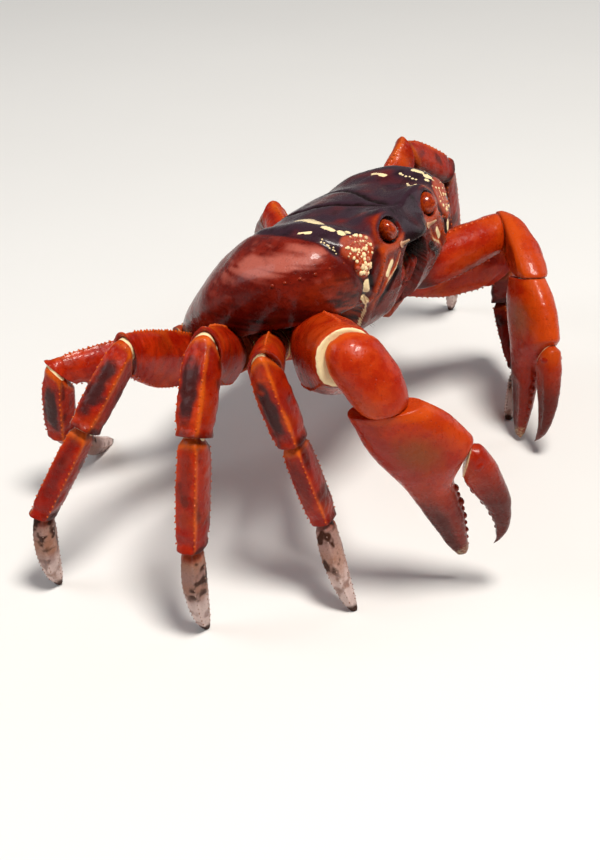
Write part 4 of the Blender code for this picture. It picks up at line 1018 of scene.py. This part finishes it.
# Marks on the finished shell, in body terms of side, forward and up
OVAL = ((22.6, 11.6, 13.8), (32.2, 24.9, 12.6), 3.4)
LEFT_OVAL = ((29.0, 13.0, 14.4), (26.6, 20.2, 13.0), 0.95)
TRIANGLE = ((33.9, 26.9, 12.0), (34.0, 29.0, 10.9))
UNDER_OVAL = ((39.3, 21.2, 12.6), (38.4, 24.4, 11.9))
SPOTS = (((33.1, 31.3, 9.1), 1.45), ((30.3, 32.3, 8.7), 0.9))
DOTTED = ((39.2, 27.6, 9.3), (39.8, 30.2, 7.2), (39.4, 31.8, 4.8))
PATCH = ((34.6, 33.4, 4.6), (29.0, 35.6, 3.0), (32.3, 35.2, -1.6))
TOOTH = ((32.3, 34.6, -7.3), (32.3, 34.2, -9.2))
SUTURE = ((32.6, 32.6, -11.6), (30.2, 31.7, -14.0), (27.3, 28.2, -17.4), (24.0, 23.5, -21.8))
SULCUS = ((24.0, 36.9, 0.2), (27.5, 36.1, -2.8), (29.9, 35.3, -5.4), (29.4, 34.4, -9.0))
STRIPE = ((21.3, 37.2, -1.6), (23.6, 35.9, -7.0), (27.0, 34.4, -10.8), (29.2, 32.4, -13.5))
BLOB = ((18.0, 36.9, -5.7), (20.6, 35.9, -8.3))
CREAM_LINE = ((12.1, 37.4, -4.6), (15.0, 36.4, -8.1), (21.6, 34.9, -11.2), (26.6, 31.9, -15.2),
              (24.4, 26.0, -20.1))
FURROW = ((13.0, 36.0, -9.2), (17.0, 35.0, -12.2), (21.6, 33.4, -14.6), (23.0, 28.5, -19.4))
MARGIN = ((35.1, 30.4, 9.7), (31.6, 34.0, 7.2), (30.8, 35.9, 2.2), (31.2, 35.4, -2.1), (29.6, 35.1, -6.2))
ORANGE = ((2.0, 4.5, 14.1), (6.6, 7.8, 14.2))


def band(half, path, width):
    return peak(path_gap(half, path), width)


def oval_gap(half, start, end, width):
    """1 on the edge of an oval that lies between two places."""
    middle = (np.array(start) + end) / 2
    along = np.subtract(end, start) / 2
    share = (half - middle) @ along / (along @ along)
    return np.hypot(share, np.linalg.norm(half - middle - share[..., None] * along, axis=-1) / width)


def on_swelling(half):
    """Where the two domes over the gills are."""
    side, forward, up = np.moveaxis(half, -1, 0)
    edge = np.interp(forward, (-40, -14, -4, 5, 12, 19.7, 28), (12, 22, 30, 36, 39, 41.4, 40.8))
    front = np.interp(up, (-22.2, -17.5, -10.8, -7.5, -2.4, 3.5, 8.7, 12.4),
                      (22.5, 27.8, 32.0, 33.9, 33.9, 32.2, 27.9, 40))
    rear = ramp(-2, -20, forward)
    apart = (side - edge + 2.5 * rear * lumps(half, 5, 75)) / (1 + 4 * rear)
    beyond = np.maximum(ramp(-0.8, 0.8, apart), ramp(4.5, 1.0, up) * ramp(8, 16, forward))
    return ramp(0.6, -0.6, forward - front) * beyond * ramp(17, 23, side + 14 * rear)


def shape_shell(places, lift):
    """The shell's relief, in body terms: places, depth of sockets and mouth, distances to the grooves."""
    centre = np.array((0, 0, -6.0))
    half = mirrored(places)
    grooves = path_gap(half, WISHBONE), path_gap(half, SWELLING)
    press = 0.95 * peak(grooves[0], 0.9) + 1.05 * peak(grooves[1], 1.7)
    sunk = sunk_depth(places, lift)
    places = places + unit(centre - places) * press[..., None]
    places[..., 2] -= sunk
    ahead = places[..., 1] - FACE
    places[..., 1] = np.where(ahead > 0, FACE + ahead * FACE_SHARE, places[..., 1])
    side, up = places[..., 0], places[..., 2]
    near_face = ramp(28.0, FACE, places[..., 1])
    reach = np.hypot(np.abs(side) - EYE_PLACE[0], up - EYE_PLACE[2])
    swell = 2.8 * peak(reach, 7.5) * near_face
    above = peak(np.maximum(up + 2.0, 0), 5.0) * ramp(-3.9, -2.7, up)
    swell = swell + 3.9 * peak(np.abs(side), 7.2, 3) * above * near_face
    places[..., 1] += swell
    places[..., 2] = np.maximum(places[..., 2], wall_foot(places[..., 0], places[..., 1]))
    normals = grid_normals(places)
    half = mirrored(places)
    lift = rough(places, 0.12, 6.0, 0.05, 1.6, 60)
    for path, height, width in ((STRIPE, 0.5, 1.3), (BLOB, 0.5, 1.4), (CREAM_LINE, 0.45, 0.7),
                                (SULCUS, -0.9, 1.0), (FURROW, -0.8, 0.9), (TOOTH, 0.5, 1.3),
                                (SUTURE, 0.3, 0.5), (SUTURE, -0.25, 1.4)):
        lift = lift + height * band(half, path, width)
    lift = lift + 0.35 * ramp(4.6, 3.0, path_gap(half, PATCH)) + 0.3 * ramp(1.1, 0.5, oval_gap(half, *OVAL))
    places = places + normals * lift[..., None]
    hollow = np.zeros(places.shape[:2])
    for sign in SIDES.values():
        centre = EYE_PLACE * (sign, 1, 1) + (0, 3.4, 0)
        places, depth = press_back(places, centre, body_turn(sign * EYE_TURN), SOCKET_RADII)
        hollow = np.maximum(hollow, depth)
    places, depth = press_back(places, MOUTH_PLACE, body_turn(0.0, MOUTH_LEAN), MOUTH_SIZE, 0.6)
    return places, hollow, depth, grooves


def shell_masks(places, hollow, mouth, grooves):
    half = mirrored(places)
    side, forward, up = np.moveaxis(half, -1, 0)
    dome = on_swelling(half)
    face = ramp(30, 34, forward)
    inner = (1 - dome) * ramp(-4.2, -3.2, up) * (1 - face * ramp(7, 9.5, side) * ramp(6.5, 3.5, up))
    blotch = lumps(places, 5.0, 71)
    inner = inner * ramp(-34, -12, forward + 5 * lumps(places, 6.0, 76))
    ragged = 0.16 * lumps(places, 1.1, 72)
    left = places[..., 0] > 0
    oval = np.where(left, oval_gap(half, *LEFT_OVAL), oval_gap(half, *OVAL))
    pale = ramp(1.08, 0.88, oval + 0.6 * ragged)
    for path, radius in ((TRIANGLE, 1.25), (UNDER_OVAL, 0.55), (TOOTH, 1.45), (SUTURE[:2], 1.15),
                         (SUTURE, 0.5)):
        pale = pale + ramp(1.2, 0.75, path_gap(half, path) / radius + ragged)
    for spot, radius in SPOTS:
        pale = pale + ramp(1.2, 0.8, np.linalg.norm(half - np.array(spot), axis=-1) / radius + ragged)
    pale = pale + 0.62 * band(half, CREAM_LINE, 0.75) + 0.95 * band(half, BLOB, 1.35)
    pale = pale + 0.8 * band(half, MARGIN, 0.4) * left
    patch = ramp(4.6, 3.4, path_gap(half, PATCH))
    rim = np.hypot((side - EYE_PLACE[0]) / SOCKET_RADII[0], (up - EYE_PLACE[2]) / SOCKET_RADII[2])
    outer = ramp(9, 16, side + ramp(3, 0, up) * 6)
    rim = peak(rim - 1.2, 0.16 + 0.16 * ramp(4, 0, up)) * ramp(31, 35, forward) * outer
    furrow = band(half, SULCUS, 1.1) + band(half, FURROW, 1.1)
    groove = peak(grooves[0], 0.95) * ramp(-4, 6, forward) * ramp(34, 29, forward)
    streaks = lumps(places * (0.3, 0.10, 1.0) + np.stack([0 * up, 0 * up, 0.35 * forward], -1), 0.75, 73)
    # Painted highlight: a pink band along the upper part of each swelling, a few millimetres below its
    # groove.
    painted_highlight = dome * peak(up - 7.0, 3.6) * ramp(-12, 12, forward) * ramp(34, 26, forward)
    rear = peak(up - rows_at(CARAPACE, forward, 2) + 1.0, 1.6) * ramp(-18, -28, forward)
    tip = ramp(34, 36.5, forward) * ramp(10, 7, side) * ramp(-4.2, -3.2, up)
    cheek = ramp(30, 33, forward) * ramp(2, -4, up) * (1 - dome)
    return {
        "pale": pale,
        "warm": np.clip(
            0.75 * patch + 0.75 * band(half, STRIPE, 1.7) + 0.9 * band(half, BLOB, 1.8)
            + 0.8 * band(half, CREAM_LINE, 1.2) + (0.45 + 0.5 * ramp(2, -1, up)) * rim
            + 0.5 * band(half, ORANGE, 2.2) * ~left + 0.35 * dome * ramp(3, -3, up) * ramp(10, 30, forward)
            + 0.5 * dome * ramp(3.5, 0.5, up - wall_foot(side, forward)), 0, 1),
        "grey": np.clip(inner * (0.9 + 0.5 * blotch) - 0.6 * patch - 0.6 * rim + 0.8 * rear, 0, 1),
        # Painted highlight on the swellings, with faint pink blotches on the middle of the back and the
        # patch's own pink rim; the dark striae break it up.
        "painted_sheen_and_tint": np.clip(
            painted_highlight * (0.8 + 0.4 * blotch) + 0.12 * inner * ramp(0.3, 0.9, blotch)
            + 0.45 * patch * ramp(-3, 5, up) - 0.4 * streaks * dome, 0, 1),
        "dark": np.clip(
            1.5 * groove + 0.5 * peak(grooves[1], 0.8) * ramp(5, 15, forward) + furrow * ramp(28, 32, forward)
            # Painted shadow: black inside the mouth opening and the eye sockets, darker the deeper in.
            + ramp(0.6, 2.0, mouth) + ramp(0.4, 1.6, hollow) + cheek * (0.3 + 0.3 * ramp(0.0, 0.8, blotch))
            # Painted shade: each swelling darkens toward its lower side; the streaks are its own dark striae.
            + dome * (0.5 * ramp(1, -12, up) + 0.45 * streaks * ramp(9, 4, up))
            + 0.45 * inner * ramp(0.1, 0.7, lumps(places, 2.6, 74)) + 0.42 * tip - 0.5 * patch, 0, 1)}


def make_carapace():
    places, *depths = shape_shell(*shell_grid(CARAPACE, 230, 300))
    form = Form()
    form.add_grid(to_world(places), shell_masks(places, *depths))
    normals = grid_normals(places)
    flat, out = places.reshape(-1, 3), normals.reshape(-1, 3)

    def beads(wanted, radius, masks, flatness=0.7):
        nearest = [np.argmin(((flat - place) ** 2).sum(1)) for place in np.asarray(wanted, float)]
        found, ways = flat[nearest], out[nearest]
        radius = np.broadcast_to(radius, len(found)) * (0.75 + 0.5 * random.random(len(found)))
        sizes = np.stack([radius, radius * (0.8 + 0.3 * random.random(len(found))), radius * flatness], -1)
        turns = axes_from(to_way(ways), to_way((0.1, 1.0, 0.2)))
        form.add_copies(BEAD, to_world(found), turns, sizes, masks)

    for sign in SIDES.values():
        spread = GRANULE_SPREAD * np.sqrt((np.arange(GRANULES) + 0.5) / GRANULES)
        turn = np.arange(GRANULES) * GOLDEN
        patch = np.stack([32.2 + spread * np.cos(turn), 34.5 + 0 * turn, 1.6 + spread * np.sin(turn)], -1)
        patch = patch + 1.1 * (random.random(patch.shape) - 0.5)
        patch = patch[path_gap(patch * (1, 0, 1) + (0, 34.7, 0), PATCH) < 3.9] * (sign, 1, 1)
        count = len(patch)
        large = 0.28 + 0.42 * random.random(count) + 0.2 * ramp(3, -3, patch[:, 2])
        if sign > 0:
            patch, large = patch[::3], large[::3] * 0.7
        beads(patch, large, {"pale": 0.3 + 0.55 * random.random(count), "warm": 1.0, "painted_sheen_and_tint": 0.5})
        for path, count, radius, pale in ((DOTTED, 11, 0.3, 0.7), (SUTURE[:2], 4, 0.5, 0.7),
                                          (STRIPE, 12, 0.34, 0.2)):
            row = path_points(path, count) * (sign, 1, 1)
            beads(row + 0.8 * (random.random(row.shape) - 0.5), radius, {"pale": pale, "warm": 0.8})
        corner = [(sign * rows_at(CARAPACE, np.array(place), 1), place, 1.5)
                  for place in (33.5, 30.5, 27.5, 24.0, 20.0, 16.0)]
        beads(corner, 0.55, {"warm": 0.35}, 0.6)
    for path, count in ((((29.4, 23.4, 12.4), (28.2, 29.5, 9.6)), 6),
                        (((24.3, 28.1, 9.6), (16.0, 34.6, 10.0)), 8)):
        beads(path_points(path, count), 0.5, {"pale": 0.85, "warm": 0.5}, 0.4)
    form.make([SHELL], "carapace")


def make_thorax():
    places, _ = shell_grid(THORAX, 110, 150)
    normals = grid_normals(places)
    half = mirrored(places)
    below = ramp(-22, -26, places[..., 2])
    press = 0.9 * peak(half[..., 0] - 8.5, 0.7) * below
    for forward in (14, 4, -6, -16, -25):
        slope = forward - 0.25 * half[..., 0]
        press = press + 0.8 * peak(places[..., 1] - slope, 0.8) * below * ramp(8, 11, half[..., 0])
    places = places - normals * (press + 0.2 * lumps(places, 3, 80))[..., None]
    form = Form()
    form.add_grid(to_world(places), {"warm": 0.4 + 0.4 * lumps(places, 8, 81), "dark": press * 0.8,
                                     "pale": 0.5 * below * (0.5 + 0.5 * lumps(places, 6, 82))})
    form.make([UNDER], "thorax")


def make_abdomen():
    """The narrow tail folded under the body, in seven segments."""
    rows = np.array(((-43, -24, 10.5), (-40, -30, 11), (-30, -33, 9), (-16, -33.5, 7), (-2, -33.5, 4.5),
                     (6, -32, 2), (8, -31.2, 0.4)))    # forward, up and half width at its joints
    share = np.linspace(0, len(rows) - 1, 130)[:, None]
    forward, up, half = (np.interp(share, np.arange(len(rows)), column) for column in rows.T)
    turn = full_turn(56)
    step = (share * 1.16) % 1.0
    seam = np.minimum(step, 1 - step)
    thick = 3.3 - 0.6 * peak(seam, 0.07)
    grid = np.stack([half * np.cos(turn), forward + 0 * turn, up + thick * power(np.sin(turn), 0.8)], -1)
    form = Form()
    form.add_grid(to_world(grid), {"dark": 0.8 * peak(seam, 0.08), "warm": 0.4 + 0.4 * lumps(grid, 6, 83),
                                   "pale": 0.3 + 0.3 * lumps(grid, 5, 84)})
    form.make([UNDER], "abdomen")


def make_eye(name, sign):
    """A bean-shaped eye, its top leaning outward, on the end of its short stalk."""
    centre = EYE_PLACE * (sign, 1, 1)
    turn = body_turn(sign * EYE_TURN) @ np.array(Matrix.Rotation(sign * EYE_LEAN, 3, "Y"))
    ball = unit_ball(40, 56)[..., [0, 2, 1]]
    places = centre + ((ball * EYE_RADII) @ turn.T) * FLIP
    form = Form()
    form.add_grid(to_world(places), {"dark": 0.3 * ramp(0.1, -0.8, ball[..., 2])})
    stalk = unit_ball(20, 30)[..., [0, 2, 1]] * EYE_STALK
    back = centre + (stalk @ turn.T) * FLIP + (0, -1.6, 0)
    # The stalk is painted near black as shade inside the socket.
    form.add_grid(to_world(back), {"warm": 0.3, "dark": 0.85}, 1)
    form.make([EYE, LIMB], "eye_" + name)


def make_mouthparts(name, sign):
    """One outer maxilliped: a long ridged plate with its palp, and bristles along its edges."""
    turn = body_turn(0.0, MAXILLIPED_LEAN)
    middle = MAXILLIPED * (sign, 1, 1)

    def block(centre, radii, rows, columns, squareness):
        shape = power(unit_ball(rows, columns), squareness) * radii
        return centre + (shape @ turn.T) * FLIP, shape

    form = Form()
    plate, shape = block(middle, MAXILLIPED_RADII, 70, 56, 0.8)
    seam = peak(shape[..., 2] - 2.5, 0.5)
    ridge = peak(shape[..., 0] - 0.6, 0.9)
    normals = grid_normals(plate)
    plate = plate + normals * (0.5 * ridge - 0.6 * seam + 0.2 * lumps(plate, 2, 90))[..., None]
    edge = np.abs(shape[..., 0]) / MAXILLIPED_RADII[0]
    form.add_grid(to_world(plate), {"dark": 0.6 * seam + 0.8 * ramp(0.55, 0.95, edge)})
    palp, _ = block(np.array((sign * 4.2, 29.9, -14.2)), (1.8, 2.0, 4.0), 24, 24, 0.9)
    form.add_grid(to_world(palp))
    local = np.stack([np.where(np.arange(BRISTLES) % 2, 4.4, -4.2), np.full(BRISTLES, -1.8),
                      np.linspace(-10, 10.5, BRISTLES)], -1)
    roots = to_world(middle + (local @ turn.T) * FLIP)
    ways = to_way(np.array((0.0, 0.8, -0.4)) + 0.5 * (random.random((BRISTLES, 3)) - 0.5))
    add_hairs(form, roots, ways, 1.7, 0.08, (0, 0, -0.4), 1)
    form.make([MOUTH, HAIR], "maxilliped_" + name)


def make_antenna(name, sign):
    start, end = np.array((sign * 10.2, 35.0, -3.4)), np.array((sign * 10.8, 41.4, -1.3))
    share = np.linspace(0, 1, 60)
    radius = np.interp(share, (0, 0.1, 0.5, 0.56, 0.97, 1.0), (1.2, 1.5, 1.2, 0.6, 0.35, 0.1))
    radius = radius * (1 + 0.12 * np.sin(share * 90) * (share > 0.56))
    turn = full_turn(20)
    ring = np.stack([np.cos(turn), 0 * turn, np.sin(turn)], -1)
    grid = (start + share[:, None] * (end - start))[:, None] + radius[:, None, None] * ring
    form = Form()
    form.add_grid(to_world(grid), {"pale": 0.5 * (share > 0.5)[:, None] + 0 * turn})
    form.make([MOUTH], "antenna_" + name)


def make_mouth_bristles():
    """Dark bristles under the front, over the mouth."""
    form = Form()
    swing = [random.random(BRISTLES) for _ in range(4)]
    roots = np.stack([np.linspace(-9, 9, BRISTLES), 34.6 + 0.8 * swing[0], -5.2 - 3.2 * swing[1]], -1)
    ways = np.stack([0.25 * (swing[2] - 0.5), np.full(BRISTLES, 0.35), -0.8 - 0.3 * swing[3]], -1)
    add_hairs(form, to_world(roots), to_way(ways), 2.4, 0.09, (0, 0, -0.2))
    form.make([HAIR], name="mouth_bristles")


# Floor, light and camera
def make_floor():
    size = 3.0
    mesh = bpy.data.meshes.new("floor")
    corners = ((-size, -size, 0), (size, -size, 0), (size, size, 0), (-size, size, 0))
    mesh.from_pydata(corners, [], [(0, 1, 2, 3)])
    floor = bpy.data.objects.new("floor", mesh)
    bpy.context.scene.collection.objects.link(floor)
    material = new_material("floor_paper", 0.85)
    nodes = Nodes(material)
    nodes.link(nodes.mix(nodes.noise(6, 3), (0.80, 0.79, 0.77), (0.84, 0.83, 0.81)),
               nodes.shader.inputs["Base Color"])
    mesh.materials.append(material)


def add_light(name, place, size, power_watts, colour, aim=(0, 0, 0.06)):
    data = bpy.data.lights.new(name, "AREA")
    data.shape = "DISK"
    data.size = size
    data.energy = power_watts
    data.color = colour
    lamp = bpy.data.objects.new(name, data)
    lamp.location = place
    lamp.rotation_euler = (Vector(aim) - Vector(place)).to_track_quat("-Z", "Y").to_euler()
    bpy.context.scene.collection.objects.link(lamp)


def make_lights():
    add_light("key", (-0.25, -0.35, 1.25), 0.35, 18.0, (1.0, 0.96, 0.9))
    add_light("fill", (0.9, -0.7, 0.6), 0.9, 2.2, (0.93, 0.96, 1.0))
    add_light("back", (-0.6, 0.9, 0.9), 0.7, 4.0, (0.95, 0.97, 1.0))
    world = bpy.data.worlds.new("studio")
    bpy.context.scene.world = world
    world.use_nodes = True
    world.node_tree.nodes["Background"].inputs["Color"].default_value = (0.9, 0.92, 0.95, 1)
    world.node_tree.nodes["Background"].inputs["Strength"].default_value = 0.17


def make_camera():
    azimuth, elevation, roll = math.radians(-64.5), math.radians(31.7), math.radians(-0.6)
    distance, target = 0.560, Vector((0.0222, 0.0150, -0.0082))
    level = math.cos(elevation)
    back = Vector((math.sin(azimuth) * level, -math.cos(azimuth) * level, math.sin(elevation)))
    right = Vector((math.cos(azimuth), math.sin(azimuth), 0))
    up = back.cross(right)
    turned = right * math.cos(roll) + up * math.sin(roll)
    up = up * math.cos(roll) - right * math.sin(roll)
    matrix = Matrix((turned, up, back)).transposed().to_4x4()
    matrix.translation = target + back * distance + Vector(SHIFT * MM)
    data = bpy.data.cameras.new("camera")
    data.lens = FOCAL * SENSOR / PICTURE_HEIGHT
    data.sensor_width = SENSOR
    data.sensor_fit = "AUTO"
    data.clip_start = 0.01
    camera = bpy.data.objects.new("camera", data)
    camera.matrix_world = matrix
    bpy.context.scene.collection.objects.link(camera)
    bpy.context.scene.camera = camera


make_carapace()
make_thorax()
make_abdomen()
make_mouth_bristles()
for name, sign in SIDES.items():
    make_eye(name, sign)
    make_mouthparts(name, sign)
    make_antenna(name, sign)
    make_claw(name)
    for leg in LEGS:
        make_leg(name, leg)
make_floor()
make_lights()
make_camera()
bpy.context.scene.view_settings.view_transform = "Standard"
